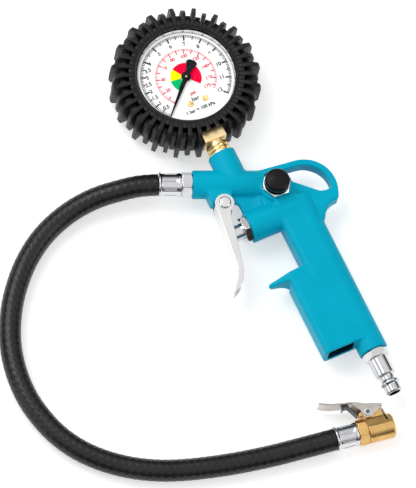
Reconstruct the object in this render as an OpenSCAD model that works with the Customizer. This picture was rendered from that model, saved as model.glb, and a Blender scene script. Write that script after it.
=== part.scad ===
// Hand-held tyre inflator: a die-cast gun with a 63 mm gauge in a finned rubber boot,
// a trigger valve, a bleed button, a short hose and a clip-on tyre chuck.
// Lengths are in millimetres. Z points out of the dial, and the boot's back lies on z = 0.

/* [Gauge] */
// Outer radius of the gauge case
case_r = 31.5; // [31:0.5:33]
// Depth of the gauge case from its back to its rim
case_depth = 23; // [22:0.5:26]
// Sheet thickness of the gauge case
case_wall = 0.8; // [0.6:0.1:1.2]
// Height of the connection's axis above the back of the case
stem_setback = 10; // [9:0.5:11]
// Width across the flats of the connection's square
stem_flat = 14; // [12:0.5:15]
// Distance from the dial's centre to the outer end of the square
stem_square_end = 42; // [40:0.5:45]
// Distance from the dial's centre to the gun's gauge boss
stem_reach = 50; // [48:0.5:54]
// Thread length that screws into the gauge boss
stem_grip = 8; // [6:0.5:10]
// Thickness of the lens
lens_t = 1.8; // [1.2:0.1:2.2]
// Height of the silver ring between the dial and the lens
bezel_h = 3.2; // [3:0.1:4]
// Width of the silver ring at the dial
bezel_w = 2.4; // [1.5:0.1:3]
// Thickness of the dial plate
dial_t = 0.5; // [0.4:0.1:0.8]
// Length of the pointer from its hub to its tip
pointer_len = 26; // [22:0.5:27]
// Radius of the pointer's hub
pointer_hub_r = 2.9; // [2:0.1:4]

/* [Rubber boot] */
// Thickness of the boot's closed back
boot_back = 4; // [3:0.5:5]
// Thickness of the boot's side wall under the fins
boot_wall = 5; // [4:0.5:6]
// How far the long fins stand out of the wall
fin_out = 8.5; // [6:0.5:9]
// How much shorter every second fin is
fin_step = 1.8; // [0.6:0.2:3]
// Number of fins
fin_count = 40; // [32:2:44]
// Thickness of a fin at its tip
fin_tip = 3; // [1.6:0.2:3.4]
// Thickness of a fin at its root
fin_root = 4; // [3.2:0.2:4.4]
// How far the fins' ends slope in towards their tips
fin_rake = 4; // [2:0.5:6]
// Thickness of the lip over the rim of the case
lip_t = 1.2; // [0.8:0.2:2]
// Width of the grooves between the blocks of the front ring
groove_w = 1.7; // [1.2:0.1:2.2]
// Depth of the grooves between the blocks of the front ring
groove_t = 1.7; // [1:0.1:2.5]
// Width of the lip over the rim of the case
lip_w = 2; // [1.5:0.5:2.5]

/* [Gun casting] */
// Angle of the handle and of the gauge boss off square to the barrel
gun_tilt = 23.5; // [20:0.5:27]
// Outer radius of the barrel
barrel_r = 8.5; // [8:0.25:9.5]
// Length of the barrel in front of the gauge boss's axis
barrel_front = 26.3; // [24:0.1:32]
// Outer radius of the gauge boss
gauge_boss_r = 8.5; // [8:0.25:9.5]
// Length of the gauge boss from the barrel's axis to its mouth
gauge_boss_len = 21; // [19:0.5:24]
// Outer radius of the valve boss
valve_boss_r = 9.25; // [8.75:0.25:10]
// Distance from the barrel and gauge axes' crossing down to the valve's axis
valve_drop = 27.8; // [27:0.2:29]
// How far the valve boss stands out in front of the gauge axis
valve_boss_out = 5.4; // [4:0.2:7]
// Thickness of the web that carries the loop
loop_t = 10.6; // [8:0.2:12]
// Outer radius of the hanging loop
loop_r = 19.8; // [18.5:0.1:21]
// Width of the loop's strap
strap_w = 3.9; // [3:0.1:5]
// Thickness of the loop's strap
strap_t = 10; // [8:0.2:12]
// Thickness of the handle
handle_t = 17; // [16:0.5:18]
// Depth of the handle from its flat front to its rear edge
handle_w = 37; // [35:0.5:40]
// Depth of the handle behind the fingers
neck_w = 24.8; // [23:0.2:27]
// Distance from the barrel's axis down to the finger hook's top
hook_drop = 64; // [62:0.5:66]
// How far the finger hook stands out in front of the handle
hook_out = 11; // [8:0.5:12]
// Distance from the barrel's axis down to the bottom of the handle
handle_drop = 119; // [112:0.5:126]
// Wall thickness of the handle's hollow front
handle_wall = 2.6; // [2:0.2:3]
// Depth of the hollow in the handle
hollow_len = 44; // [35:1:48]
// Outer radius of the inlet boss
inlet_boss_r = 8.75; // [8.6:0.05:9.25]
// How far the inlet boss stands out of the bottom of the handle
inlet_boss_out = 8; // [5:0.5:12]
// Radius of the thread bores for gauge, hose and inlet
port_r = 6.6; // [6.4:0.05:6.8]
// Depth of the thread bores
port_len = 12; // [10:0.5:13]
// Radius of the air passages
passage_r = 2.2; // [1.5:0.1:3]

/* [Trigger and valve] */
// Distance of the trigger pin in front of the gauge axis, along the barrel
pin_ahead = 8.1; // [7:0.1:9]
// Distance of the trigger pin below the barrel's axis
pin_drop = 14.2; // [13.6:0.1:15]
// Radius of the trigger pin
pin_r = 2; // [1.5:0.1:2.5]
// Radius of the trigger pin's head
pin_head_r = 3.7; // [3:0.1:4.2]
// Outer width of the trigger channel
trigger_w = 15.6; // [14.6:0.2:17]
// Sheet thickness of the trigger
trigger_t = 1.2; // [1:0.1:1.5]
// Radius of the trigger's ears
ear_r = 5.7; // [5.6:0.1:6]
// Length of the trigger from its pin to its tip
trigger_len = 56.3; // [50:0.1:60]
// Width across the flats of the valve's gland nut
gland_flat = 15; // [13:0.5:15.5]
// Thickness of the gland nut's head
gland_t = 4.5; // [4:0.5:5]
// Radius of the plunger
plunger_r = 2.5; // [2:0.1:3]
// Radius of the plunger's head
head_r = 4.7; // [4.2:0.1:4.9]
// Radius of the valve chamber
chamber_r = 6; // [5.5:0.1:6.5]

/* [Bleed valve] */
// Distance of the bleed valve behind the gauge axis
bleed_back = 22.8; // [22:0.1:24]
// Outer radius of the bleed boss
bleed_boss_r = 9.8; // [9.4:0.1:10.5]
// Height of the bleed boss above the gun's middle plane
bleed_boss_h = 8.3; // [7.5:0.1:9]
// Width across the flats of the bleed nut
bleed_nut_flat = 16; // [14:0.5:17]
// Thickness of the bleed nut
bleed_nut_t = 2.5; // [2:0.1:4]
// Radius of the bleed button
button_r = 7.4; // [6:0.1:7.5]
// Height of the bleed button
button_h = 4.8; // [4:0.1:7]
// Travel of the bleed button
button_stroke = 1.8; // [1.2:0.1:2.4]

/* [Fittings] */
// Width across the flats of the plug, nipple and chuck hexagons
hex_flat = 14; // [13:0.5:15]
// Length of the plug's hexagon
plug_hex_len = 5; // [4:0.5:7]
// Radius of the plug's shank
plug_shank_r = 6; // [5.5:0.1:6.5]
// Radius of the plug's tip
plug_tip_r = 5; // [4.5:0.1:5.4]
// Length of the plug beyond its hexagon
plug_len = 23; // [21:0.5:27]
// Length of the nipple's hexagon
nipple_hex_len = 6.5; // [5:0.5:8]
// Outer radius of the crimped ferrules
ferrule_r = 6.7; // [6.6:0.1:7]
// Length of the crimped ferrules
ferrule_len = 13.5; // [11:0.5:18]
// Outer radius of the hose
hose_r = 6.5; // [6:0.1:6.6]

/* [Chuck] */
// Outer radius of the chuck body
chuck_r = 7.5; // [7.2:0.1:8.5]
// Length of the chuck's hexagon
chuck_hex_len = 6; // [5:0.5:8]
// Length of the round chuck body
chuck_len = 16; // [15:0.5:18]
// Radius of the bore that takes the tyre valve
mouth_r = 4.2; // [4:0.1:4.6]
// Depth of the bore that takes the tyre valve
mouth_len = 9; // [8:0.5:10]
// Width of the lever
lever_w = 11; // [10:0.5:13]
// Sheet thickness of the lever
lever_t = 0.9; // [0.7:0.1:1.2]
// Width of the chuck's tower between the lever's cheeks
tower_w = 8.6; // [7.5:0.1:8.8]
// Height of the lever's rivet above the chuck's axis
rivet_rise = 9.9; // [9.8:0.1:10.6]
// Radius of the lever's rivet
rivet_r = 1.4; // [1:0.1:1.8]

/* [Hidden] */
$fn = 64;
// Overshoot of a cut through a face
cut = 1;
// Radial clearance between parts that are fixed in each other
fit = 0.05;
// Radial clearance between parts that turn or slide
run = 0.05;
// Gap between parts that come close without a seat
gap = 0.3;

// Heights
mid_z = boot_back + stem_setback;
rim_z = boot_back + case_depth;
boot_h = rim_z + lip_t;
lens_z = rim_z - lens_t;
dial_z = lens_z - bezel_h - dial_t;
// Radii of the gauge
bore_r = case_r - case_wall;
boot_r = case_r + boot_wall;
fin_r = boot_r + fin_out;
ring_r = boot_r + 0.6;
// Height at which the fins end, behind the front ring
fin_front = boot_h - 4.2;

// Place of the crossing of barrel and gauge axes
stem_line = stem_reach + gauge_boss_len;
gun_x = stem_line * sin(gun_tilt);
gun_y = -stem_line * cos(gun_tilt);

// Handle, measured behind and below the crossing along the handle's own directions
handle_front = 0.5;
handle_rear = handle_front + handle_w;
neck_front = handle_rear - neck_w;
inlet_x = handle_rear - inlet_boss_r;
inlet_end = handle_drop + inlet_boss_out;
hollow_rear = inlet_x - inlet_boss_r - 0.4;

// Passage pillar under the barrel, with the thin web that joins it to the trigger's lug
riser_x = 13;
riser_r = 3.2;
riser_len = 20;
rib_t = 3.2;
// Top of the neck, round corners of the handle and the crotch behind the neck
neck_top = 21;
corner_r = 3;
crotch_at = [63.7, -21.4];
crotch_r = 12;

// Hanging loop
loop_x = 40.3;
loop_y = -5.1;
loop_slope = 16.6;
strap_run = 24;

// Bleed valve
bleed_drop = 2.9;
bleed_nut_z = mid_z + bleed_boss_h;
bleed_top_z = bleed_nut_z + bleed_nut_t;
button_z = bleed_top_z + button_stroke + 0.2;
bleed_thread_r = 5.5;
bleed_stem_r = 1.8;
bleed_seal_r = 3.4;
bleed_spring_r = 3.3;
bleed_wire = 0.35;

// Pivot of the trigger in the gun's frame
pin_at = [-pin_ahead, -pin_drop];
lug_t = trigger_w - 2 * trigger_t - 0.4;
web_top = pin_at + [-5.9, 1.1];
knee_ahead = 6.1;
knee_drop = 39.6;
web_knee = pin_at + [knee_ahead, -knee_drop];
web_start = web_top + 0.03 * (web_knee - web_top);
web_end = pin_at + [knee_ahead - 0.4, -knee_drop - 7.9];
web_tip = pin_at + [3.1, -trigger_len];

function turned(p, a) = [p.x * cos(a) - p.y * sin(a), p.x * sin(a) + p.y * cos(a)];
function side(a, b) = a.x * b.y - a.y * b.x;
// Distance from p along d to the line through q along e
function reach(p, d, q, e) = side(q - p, e) / side(d, e);
function unit(v) = v / norm(v);

valve_mouth = turned([-valve_boss_out, -valve_drop], gun_tilt);
valve_way = turned([1, 0], gun_tilt);
web_way = unit(web_knee - web_top);
plunger_out = reach(valve_mouth, -valve_way, web_top, web_way)
    - trigger_t / abs(side(web_way, valve_way)) - gap;
// Valve chamber, measured behind the mouth of the valve boss
gland_len = 5;
oring_at = 2;
chamber_len = 29;
seat_at = 10.4;
seat_t = 3;
poppet_at = seat_at + seat_t + 0.05;
poppet_t = 2.4;
poppet_seal_t = 1;
seat_r = 3.2;
poppet_r = seat_r + 1.4;
valve_spring_r = 3.2;
valve_wire = 0.45;

// Fittings on the barrel's axis
nipple_x = gun_x - barrel_front;
barb_r = 4;
collar = 0.7;
plug_bore_r = 3.6;
plug_groove = 1.5;
nipple_bore_r = 2.5;
connector_bore_r = 2;

// Chuck at the end of the hose
chuck_at = [81, -222.3, chuck_r + gap];
chuck_tilt = 14.5;
hex_at = ferrule_len;
body_at = hex_at + chuck_hex_len;
body_end = body_at + chuck_len;
rivet_x = body_at + 2.8;
clip_x = body_end - 4.9;
clip_y = rivet_rise + 3.6;
tower_back = body_at - 2.4;
clip_w = 4.6;
clip_eye_r = 1.5;
clip_pin_r = 0.7;
seal_t = 2.2;
disc_t = 1.2;
seal_bore_r = mouth_r + 0.3;
seal_at = body_end - mouth_len - 2 * fit - seal_t;
spigot = seal_at - disc_t - fit - body_at;

// Route of the hose, from the gun's ferrule to the chuck's
hose_route = [
    [-18, -65.1, 14], [-30, -66, 13.6], [-42, -68.5, 12.4], [-54, -71.8, 10.4],
    [-65, -76.8, 8.6], [-75, -83.6, 7.4], [-84, -92, 6.8], [-91, -101, 6.6],
    [-97, -111.5, 6.6], [-101.5, -122.5, 6.6], [-105, -134.5, 6.6], [-107, -147, 6.6],
    [-107.5, -159.5, 6.6], [-106.2, -172, 6.6], [-103, -184.5, 6.6], [-98, -196.5, 6.6],
    [-91, -207.5, 6.6], [-82.5, -217.5, 6.6], [-72, -226, 6.6], [-60.5, -232.3, 6.6],
    [-48, -236.8, 6.6], [-35, -239.6, 6.6], [-21.5, -240.8, 6.6], [-8, -240.4, 6.6],
    [5.5, -239, 6.6], [19, -237, 6.6], [32.5, -234.4, 6.6], [46, -231.4, 6.7],
    [58, -228.3, 7], [70, -225.2, 7.4], [81, -222.3, 7.8]
];

// Gauge movement, in the dial's frame with the connection along -Y
tooth = 0.3;
pinion_teeth = 10;
sector_teeth = 80;
pinion_r = tooth * pinion_teeth / 2;
sector_r = tooth * sector_teeth / 2;
sector_y = -(pinion_r + sector_r);
plate_t = 0.9;
base_z = mid_z - 3;
bridge_z = base_z + 8;
sector_z = base_z + 3.2;
sector_t = 1;
tail_len = 6;
tail_angle = -10;
pillar_x = 7;
plate_w = 11;
plate_foot = 10.6;
plate_top = 8;
tube_r = 24.5;
pillar_y = -tube_r + 5.9;
screw_x = 4.8;
screw_y = -tube_r + 8;
tube_end = 20;
tip_in = 3.9;
pointer_z = dial_z + dial_t + 1.1;
arbor_r = 0.6;
sector_pivot_r = 0.75;
link_pin_r = 0.45;
link_eye_r = 1.2;
link_t = 0.5;
pillar_screw_r = 1;
dial_screw_r = 1;
tube_w = 2.4;
tube_h = 7.6;

// Places a shape in the frame of the gun's casting
module gun() translate([gun_x, gun_y, mid_z]) children();
// Places a shape in the frame of the handle: X to the rear, -Y down the handle
module grip() gun() rotate(gun_tilt) children();
// Places a shape on the valve's axis, with Z inwards and z = 0 at the boss's mouth
module valve() grip() translate([-valve_boss_out, -valve_drop, 0]) rotate([0, 90, 0]) children();
// Places a shape on the inlet's axis, with Z out of the boss and z = 0 at its face
module inlet() grip() translate([inlet_x, -inlet_end, 0]) rotate([90, 0, 0]) children();
// Places a shape on the barrel's axis, with Z out of the barrel and z = 0 at its face
module muzzle() translate([nipple_x, gun_y, mid_z]) rotate([0, -90, 0]) children();
// Places a shape in the frame of the chuck: X along it, Y towards the lever
module chuck() translate(chuck_at) rotate(chuck_tilt) children();
// Places a shape in the dial's frame
module dial() rotate(gun_tilt) children();

module tube(h, outer, inner) difference() {
    cylinder(r = outer, h = h);
    translate([0, 0, -cut]) cylinder(r = inner, h = h + 2 * cut);
}

// Hexagon with the corners turned off
module hexagon(flat, h) intersection() {
    cylinder(r = flat / sqrt(3), h = h, $fn = 6);
    rotate_extrude() polygon([
        [0, 0], [flat / 2 - 0.1, 0], [flat / sqrt(3), 0.9],
        [flat / sqrt(3), h - 0.9], [flat / 2 - 0.1, h], [0, h]
    ]);
}

// Centred bar along Z with round corners
module bar(w, t, r, h) linear_extrude(h) {
    square([w - 2 * r, t], center = true);
    square([w, t - 2 * r], center = true);
    for (x = [-1, 1], y = [-1, 1]) translate([x * (w / 2 - r), y * (t / 2 - r)]) circle(r);
}

// Round tube swept along a path, its ends square to the given directions
module sweep(path, r, sides, first, last) {
    n = len(path);
    points = [for (i = [0:n - 1])
        let (
            t = i == 0 ? first : i == n - 1 ? last : unit(path[i + 1] - path[i - 1]),
            s = unit(cross([0, 0, 1], t)),
            u = cross(t, s)
        )
        for (j = [0:sides - 1]) path[i] + r * (cos(360 * j / sides) * s + sin(360 * j / sides) * u)
    ];
    walls = [for (i = [0:n - 2], j = [0:sides - 1])
        let (a = i * sides + j, b = i * sides + (j + 1) % sides)
        each [[a, a + sides, b], [b, a + sides, b + sides]]
    ];
    caps = [for (j = [1:sides - 2]) each [
        [0, j, j + 1], [(n - 1) * sides, (n - 1) * sides + j + 1, (n - 1) * sides + j]
    ]];
    polyhedron(points, concat(walls, caps), convexity = 6);
}

// Coil spring of round wire with its axis along Z
module coil(r, wire, h, turns) {
    steps = turns * 12;
    path = [for (i = [0:steps]) [
        r * cos(30 * i), r * sin(30 * i), wire + (h - 2 * wire) * i / steps
    ]];
    sweep(path, wire, 6, [0, 1, 0], [0, 1, 0]);
}

// ---- Gun casting ----

// Web between the barrel, the loop and the handle
module web_outline() {
    polygon([
        [16, 4], [bleed_back + 9, 0.9], [loop_x + 9, loop_y - 0.3], [loop_x + 15, loop_y + 1],
        [loop_x + 19, loop_y - 3], [loop_x + 17.5, loop_y - 7], [46, -32], [20, -26], [14, -12]
    ]);
    translate([loop_x + 15.7, loop_y - 2.6]) circle(4.2);
}

// Points along an arc about the origin
function arc(r, from, to) = [for (i = [0:32])
    let (a = from + (to - from) * i / 32) r * [cos(a), sin(a)]
];

// The strap bends round from the web and runs straight into the barrel
module loop() {
    inner_r = loop_r - strap_w;
    bend = 90 + loop_slope;
    translate([loop_x, loop_y, -strap_t / 2]) linear_extrude(strap_t) polygon(concat(
        arc(loop_r, -6, bend),
        [turned([loop_r, strap_run], bend), turned([inner_r, strap_run], bend)],
        arc(inner_r, bend, -6)
    ));
}

// Front part of the handle with flat sides and round front corners, y from top down to end
module handle_box(front, top, end, corner) {
    back = inlet_x + 1;
    translate([(front + back) / 2, -top, 0]) rotate([90, 0, 0])
        intersection() {
            bar(back - front, handle_t, corner, end - top);
            translate([-handle_w, -handle_t, 0])
                cube([handle_w + (back - front) / 2 - corner, 2 * handle_t, end]);
        }
}

module hook_outline() {
    tip = handle_front - hook_out;
    polygon([
        [neck_front + 1, -hook_drop + 0.6], [neck_front + 1, -hook_drop - 16],
        [handle_front, -hook_drop - 16], [handle_front + 1.3, -hook_drop - 8.4],
        [handle_front + 1.2, -hook_drop - 6.2], [handle_front - 0.2, -hook_drop - 5],
        [handle_front - 3.5, -hook_drop - 4], [tip + 1.6, -hook_drop - 3.3],
        [tip + 1, -hook_drop - 0.8], [neck_front - 3, -hook_drop + 0.3]
    ]);
    translate([tip + 1.5, -hook_drop - 2.1]) circle(1.5);
}

// The hook from above: as wide as the handle where it leaves it, narrow at its tip
module hook_top() {
    tip = handle_front - hook_out;
    wide = handle_t / 2;
    polygon([
        [neck_front + 2, -wide], [handle_front + 3, -wide], [handle_front - 1, -wide + 1.8],
        [handle_front - 5, -wide + 4], [tip + 1.2, -2.6], [tip, -1], [tip, 1], [tip + 1.2, 2.6],
        [handle_front - 5, wide - 4], [handle_front - 1, wide - 1.8], [handle_front + 3, wide],
        [neck_front + 2, wide]
    ]);
}

// The handle's top narrows to the web's thickness
module neck_slope() polygon([
    [-handle_t / 2, 0], [-loop_t / 2 + 0.5, 5.5], [loop_t / 2 - 0.5, 5.5], [handle_t / 2, 0], [0, -3]
]);

module gun_solid() {
    // Barrel and gauge boss
    translate([-barrel_front, 0, 0]) rotate([0, 90, 0]) cylinder(r = barrel_r, h = barrel_front + bleed_back);
    rotate(gun_tilt) rotate([-90, 0, 0]) cylinder(r = gauge_boss_r, h = gauge_boss_len);
    // Bleed boss
    translate([bleed_back, -bleed_drop, -barrel_r + 0.3])
        cylinder(r = bleed_boss_r, h = barrel_r - 0.3 + bleed_boss_h);
    // Passage pillar, trigger lug and the thin web between them
    translate([riser_x, 0, 0]) rotate([90, 0, 0]) cylinder(r = riser_r, h = riser_len);
    translate([0, 0, -lug_t / 2]) linear_extrude(lug_t) {
        polygon([
            [pin_at.x - 10.6, -4], [pin_at.x - 8.9, -9.6], [pin_at.x - 7.4, pin_at.y + 1.3],
            [pin_at.x - 6, pin_at.y + 0.9], [pin_at.x - 4.6, pin_at.y + 1.6], [pin_at.x - 3, pin_at.y],
            [pin_at.x + 4, pin_at.y], [pin_at.x + 5, -4]
        ]);
        translate(pin_at) circle(4);
    }
    translate([0, 0, -rib_t / 2]) linear_extrude(rib_t)
        polygon([
            [pin_at.x + 2, -4], [riser_x, -4], [riser_x, -18], [4.4, -20], [2.9, -18], [1.6, -15],
            [0.4, -12.9], [-1, -12.3], [pin_at.x + 2, -12.3]
        ]);
    // Web and loop
    translate([0, 0, -loop_t / 2]) linear_extrude(loop_t) web_outline();
    loop();
    rotate(gun_tilt) {
        // Valve boss
        translate([-valve_boss_out, -valve_drop, 0]) rotate([0, 90, 0]) cylinder(r = valve_boss_r, h = 34);
        // Handle with its round rear, which runs out as the inlet boss
        translate([inlet_x, -22, 0]) rotate([90, 0, 0]) cylinder(r = inlet_boss_r, h = inlet_end - 22);
        handle_box(neck_front, neck_top, hook_drop + 8, corner_r);
        translate([neck_front + 2, -neck_top, 0]) rotate([0, 90, 0])
            linear_extrude(inlet_x - neck_front - 2) neck_slope();
        handle_box(handle_front, hook_drop + 7.5, handle_drop, corner_r);
        intersection() {
            translate([0, 0, -handle_t / 2 + 0.3]) linear_extrude(handle_t - 0.6) hook_outline();
            translate([0, -hook_drop + 5, 0]) rotate([90, 0, 0]) linear_extrude(30) hook_top();
        }
    }
}

module gun_body() color([0.0, 0.66, 0.79]) gun() difference() {
    gun_solid();
    // Crotch behind the neck
    translate([crotch_at.x, crotch_at.y, -handle_t]) cylinder(r = crotch_r, h = 2 * handle_t);
    // Barrel's thread and passage
    translate([-barrel_front - cut, 0, 0]) rotate([0, 90, 0]) cylinder(r = port_r, h = port_len + cut);
    translate([-barrel_front, 0, 0]) rotate([0, 90, 0]) cylinder(r = passage_r, h = barrel_front + bleed_back);
    // Spot face under the bleed nut
    translate([bleed_back, -bleed_drop, bleed_boss_h]) cylinder(r = bleed_boss_r + gap, h = 4);
    // Bleed valve's thread and passage
    translate([bleed_back, -bleed_drop, -2.5])
        cylinder(r = bleed_thread_r + fit, h = bleed_boss_h + 2.5 + cut);
    // Trigger pin
    translate([pin_at.x, pin_at.y, -lug_t]) cylinder(r = pin_r + fit, h = 2 * lug_t);
    // Passage from the valve up to the barrel
    translate([riser_x, 0, 0]) rotate([90, 0, 0]) cylinder(r = passage_r - 0.4, h = riser_len + 4);
    rotate(gun_tilt) {
        // Gauge's thread and passage
        translate([0, gauge_boss_len - port_len, 0]) rotate([-90, 0, 0])
            cylinder(r = port_r, h = port_len + cut);
        rotate([-90, 0, 0]) cylinder(r = passage_r - 0.2, h = gauge_boss_len);
        // Valve chamber
        translate([-valve_boss_out - cut, -valve_drop, 0]) rotate([0, 90, 0])
            cylinder(r = chamber_r, h = chamber_len + cut);
        // Air channel and thread of the inlet
        translate([inlet_x, -inlet_end - cut, 0]) rotate([-90, 0, 0])
            cylinder(r = passage_r + 0.6, h = inlet_end + cut - valve_drop + 2);
        translate([inlet_x - 10, -valve_drop, 0]) rotate([0, 90, 0]) cylinder(r = passage_r, h = 11);
        translate([inlet_x, -inlet_end - cut, 0]) rotate([-90, 0, 0]) cylinder(r = port_r, h = port_len + cut);
        // Hollow of the handle
        translate([(handle_front + handle_wall + hollow_rear) / 2, -handle_drop - cut, 0]) rotate([-90, 0, 0])
            bar(hollow_rear - handle_front - handle_wall, handle_t - 2 * handle_wall, 1.5, hollow_len + cut);
    }
}

// ---- Trigger ----

module trigger_side() {
    polygon([
        pin_at + [-4, 1], pin_at + [-1, 3], pin_at + [5, 0], pin_at + [3.2, -6.6],
        pin_at + [knee_ahead + 0.6, -knee_drop + 15.6], web_knee + [3.6, -1.6],
        web_end + [3.5, -1.4], web_end + [2.2, -4],
        web_tip + [1.5, 1.2], web_tip, web_end, web_knee, web_start
    ]);
    translate(pin_at) circle(ear_r);
}

module trigger_web() polygon([
    web_start, web_knee, web_end, web_tip, web_tip + [trigger_t, 0.2],
    web_end + [trigger_t, 0], web_knee + [trigger_t, 0], web_start + [trigger_t, 0]
]);

module trigger() color([0.86, 0.87, 0.88]) gun() difference() {
    union() {
        for (z = [-trigger_w / 2, trigger_w / 2 - trigger_t]) translate([0, 0, z])
            linear_extrude(trigger_t) trigger_side();
        translate([0, 0, -trigger_w / 2 + 0.2]) linear_extrude(trigger_w - 0.4) trigger_web();
    }
    translate([pin_at.x, pin_at.y, -trigger_w]) cylinder(r = pin_r + run, h = 2 * trigger_w);
}

module trigger_pin() color([0.8, 0.81, 0.83]) gun() translate(pin_at) {
    translate([0, 0, -trigger_w / 2 - 2.2]) cylinder(r = pin_r, h = trigger_w + 2.3);
    translate([0, 0, trigger_w / 2 + 0.1]) rotate_extrude()
        polygon([[0, 0], [pin_head_r, 0], [pin_head_r, 0.7], [pin_head_r - 0.7, 1.3], [0, 1.5]]);
}

module trigger_pin_ring() color([0.25, 0.25, 0.27]) gun() translate([pin_at.x, pin_at.y, -trigger_w / 2 - 1])
    tube(0.8, pin_r + 1.6, pin_r + fit);

// ---- Trigger valve ----

module valve_gland() color([0.83, 0.84, 0.86]) valve() difference() {
    union() {
        translate([0, 0, -gland_t]) rotate(15) hexagon(gland_flat, gland_t);
        cylinder(r = chamber_r - fit, h = gland_len);
    }
    // Counterbore that the plunger's head slides into
    translate([0, 0, -gland_t - cut]) cylinder(r = head_r + 2 * run, h = gland_t + cut);
    cylinder(r = plunger_r + run, h = gland_len + cut);
    translate([0, 0, oring_at - 0.6]) cylinder(r = plunger_r + 1.3 + fit, h = 1.2);
}

module gland_oring() color([0.1, 0.1, 0.1]) valve() translate([0, 0, oring_at]) rotate_extrude()
    translate([plunger_r + 0.7, 0]) circle(0.6);

module valve_plunger() color([0.83, 0.84, 0.86]) valve() {
    head_len = plunger_out - gland_t + gap;
    translate([0, 0, -plunger_out]) rotate_extrude() polygon([
        [0, 0], [2.6, 0.1], [head_r - 0.3, 0.8], [head_r + 0.5, 1.6], [head_r + 0.5, 4], [head_r, 4.4],
        [head_r, head_len], [0, head_len]
    ]);
    translate([0, 0, -gland_t]) cylinder(r = plunger_r, h = gland_t + gland_len + 1);
    translate([0, 0, gland_len]) cylinder(r = 1.5, h = poppet_at - gland_len);
}

module valve_seat() color([0.78, 0.62, 0.3]) valve() translate([0, 0, seat_at])
    tube(seat_t, chamber_r - fit, seat_r);

module valve_poppet() color([0.78, 0.62, 0.3]) valve() translate([0, 0, poppet_at]) {
    translate([0, 0, poppet_seal_t]) cylinder(r = poppet_r, h = poppet_t - poppet_seal_t);
    translate([0, 0, poppet_seal_t]) cylinder(r = poppet_r - 3, h = poppet_t + 2);
}

module poppet_seal() color([0.1, 0.1, 0.1]) valve() translate([0, 0, poppet_at])
    cylinder(r = poppet_r, h = poppet_seal_t);

module valve_spring() color([0.7, 0.7, 0.72]) valve() translate([0, 0, poppet_at + poppet_t])
    coil(valve_spring_r, valve_wire, chamber_len - poppet_at - poppet_t, 5);

// ---- Bleed valve ----

module bleed() translate([gun_x + bleed_back, gun_y - bleed_drop, 0]) children();

module bleed_nut() color([0.83, 0.84, 0.86]) bleed() difference() {
    union() {
        translate([0, 0, bleed_nut_z]) rotate(20) hexagon(bleed_nut_flat, bleed_nut_t);
        translate([0, 0, mid_z + 3]) cylinder(r = bleed_thread_r, h = bleed_nut_z - mid_z - 3);
    }
    translate([0, 0, mid_z]) cylinder(r = bleed_stem_r + run, h = 30);
}

module bleed_button() color([0.08, 0.08, 0.09]) bleed() difference() {
    translate([0, 0, button_z]) rotate_extrude() polygon(concat(
        [[0, 0], [button_r, 0]],
        [for (a = [0:15:90]) [button_r - 2.2 + 2.2 * cos(a), 2 + (button_h - 2.6) * sin(a)]],
        [[button_r - 5, button_h - 0.2], [0, button_h]]
    ));
    translate([0, 0, button_z - cut]) cylinder(r = bleed_spring_r + 1.1, h = 1.6 + cut);
    translate([0, 0, button_z - cut]) cylinder(r = bleed_stem_r + fit, h = 3 + cut);
}

module bleed_stem() color([0.78, 0.62, 0.3]) bleed() {
    translate([0, 0, mid_z + 1.5]) cylinder(r = bleed_stem_r, h = button_z + 2.9 - mid_z - 1.5);
    translate([0, 0, mid_z + 0.6]) cylinder(r = bleed_seal_r, h = 1);
}

module bleed_seal() color([0.1, 0.1, 0.1]) bleed() translate([0, 0, mid_z + 1.65])
    tube(1.3, bleed_seal_r, bleed_stem_r + fit);

module bleed_spring() color([0.7, 0.7, 0.72]) bleed() translate([0, 0, bleed_top_z + 0.1])
    coil(bleed_spring_r, bleed_wire, button_z + 1.5 - bleed_top_z - 0.2, 2);

// ---- Inlet plug and hose fittings ----

module inlet_plug() color([0.83, 0.84, 0.86]) inlet() difference() {
    union() {
        hexagon(hex_flat, plug_hex_len);
        translate([0, 0, -port_len + 1]) cylinder(r = port_r - fit, h = port_len);
        translate([0, 0, plug_hex_len]) rotate_extrude() polygon([
            [0, -0.5], [plug_shank_r, -0.5],
            [plug_shank_r, plug_len - 12], [plug_shank_r - 0.6, plug_len - 11.4],
            [plug_shank_r - plug_groove, plug_len - 11.2], [plug_shank_r - plug_groove, plug_len - 8.6],
            [plug_shank_r, plug_len - 7], [plug_shank_r, plug_len - 6], [plug_tip_r, plug_len - 5],
            [plug_tip_r, plug_len - 0.8], [plug_tip_r - 0.8, plug_len], [0, plug_len]
        ]);
    }
    translate([0, 0, -port_len]) cylinder(r = plug_bore_r, h = port_len + plug_hex_len + plug_len + cut);
}

module hose_nipple() color([0.83, 0.84, 0.86]) muzzle() difference() {
    union() {
        rotate(30) hexagon(hex_flat, nipple_hex_len);
        translate([0, 0, -port_len + 1]) cylinder(r = port_r - fit, h = port_len);
        cylinder(r = barb_r - fit, h = nipple_hex_len + ferrule_len - 1);
    }
    translate([0, 0, -port_len])
        cylinder(r = nipple_bore_r, h = port_len + nipple_hex_len + ferrule_len + cut);
}

// Crimped sleeve along Z: the hose end at z = 0, the hexagon end at the top
module ferrule() difference() {
    rotate_extrude() polygon([
        [0, 0], [ferrule_r + collar, 0], [ferrule_r + collar, 0.9],
        [ferrule_r, 1.8], [ferrule_r, ferrule_len - 2.2],
        [ferrule_r + collar / 2, ferrule_len - 1.8], [ferrule_r + collar / 2, ferrule_len - 0.6],
        [ferrule_r, ferrule_len], [0, ferrule_len]
    ]);
    translate([0, 0, 0.4]) cylinder(r = barb_r, h = ferrule_len);
    for (a = [0:45:315]) rotate(a) translate([ferrule_r - 0.4, -0.6, 3]) cube([2, 1.2, ferrule_len - 6]);
}

module hose_ferrule_gun() color([0.85, 0.86, 0.88]) muzzle()
    translate([0, 0, nipple_hex_len + ferrule_len]) rotate([180, 0, 0]) ferrule();

module hose_ferrule_chuck() color([0.85, 0.86, 0.88]) chuck() rotate([0, 90, 0]) ferrule();

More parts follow.
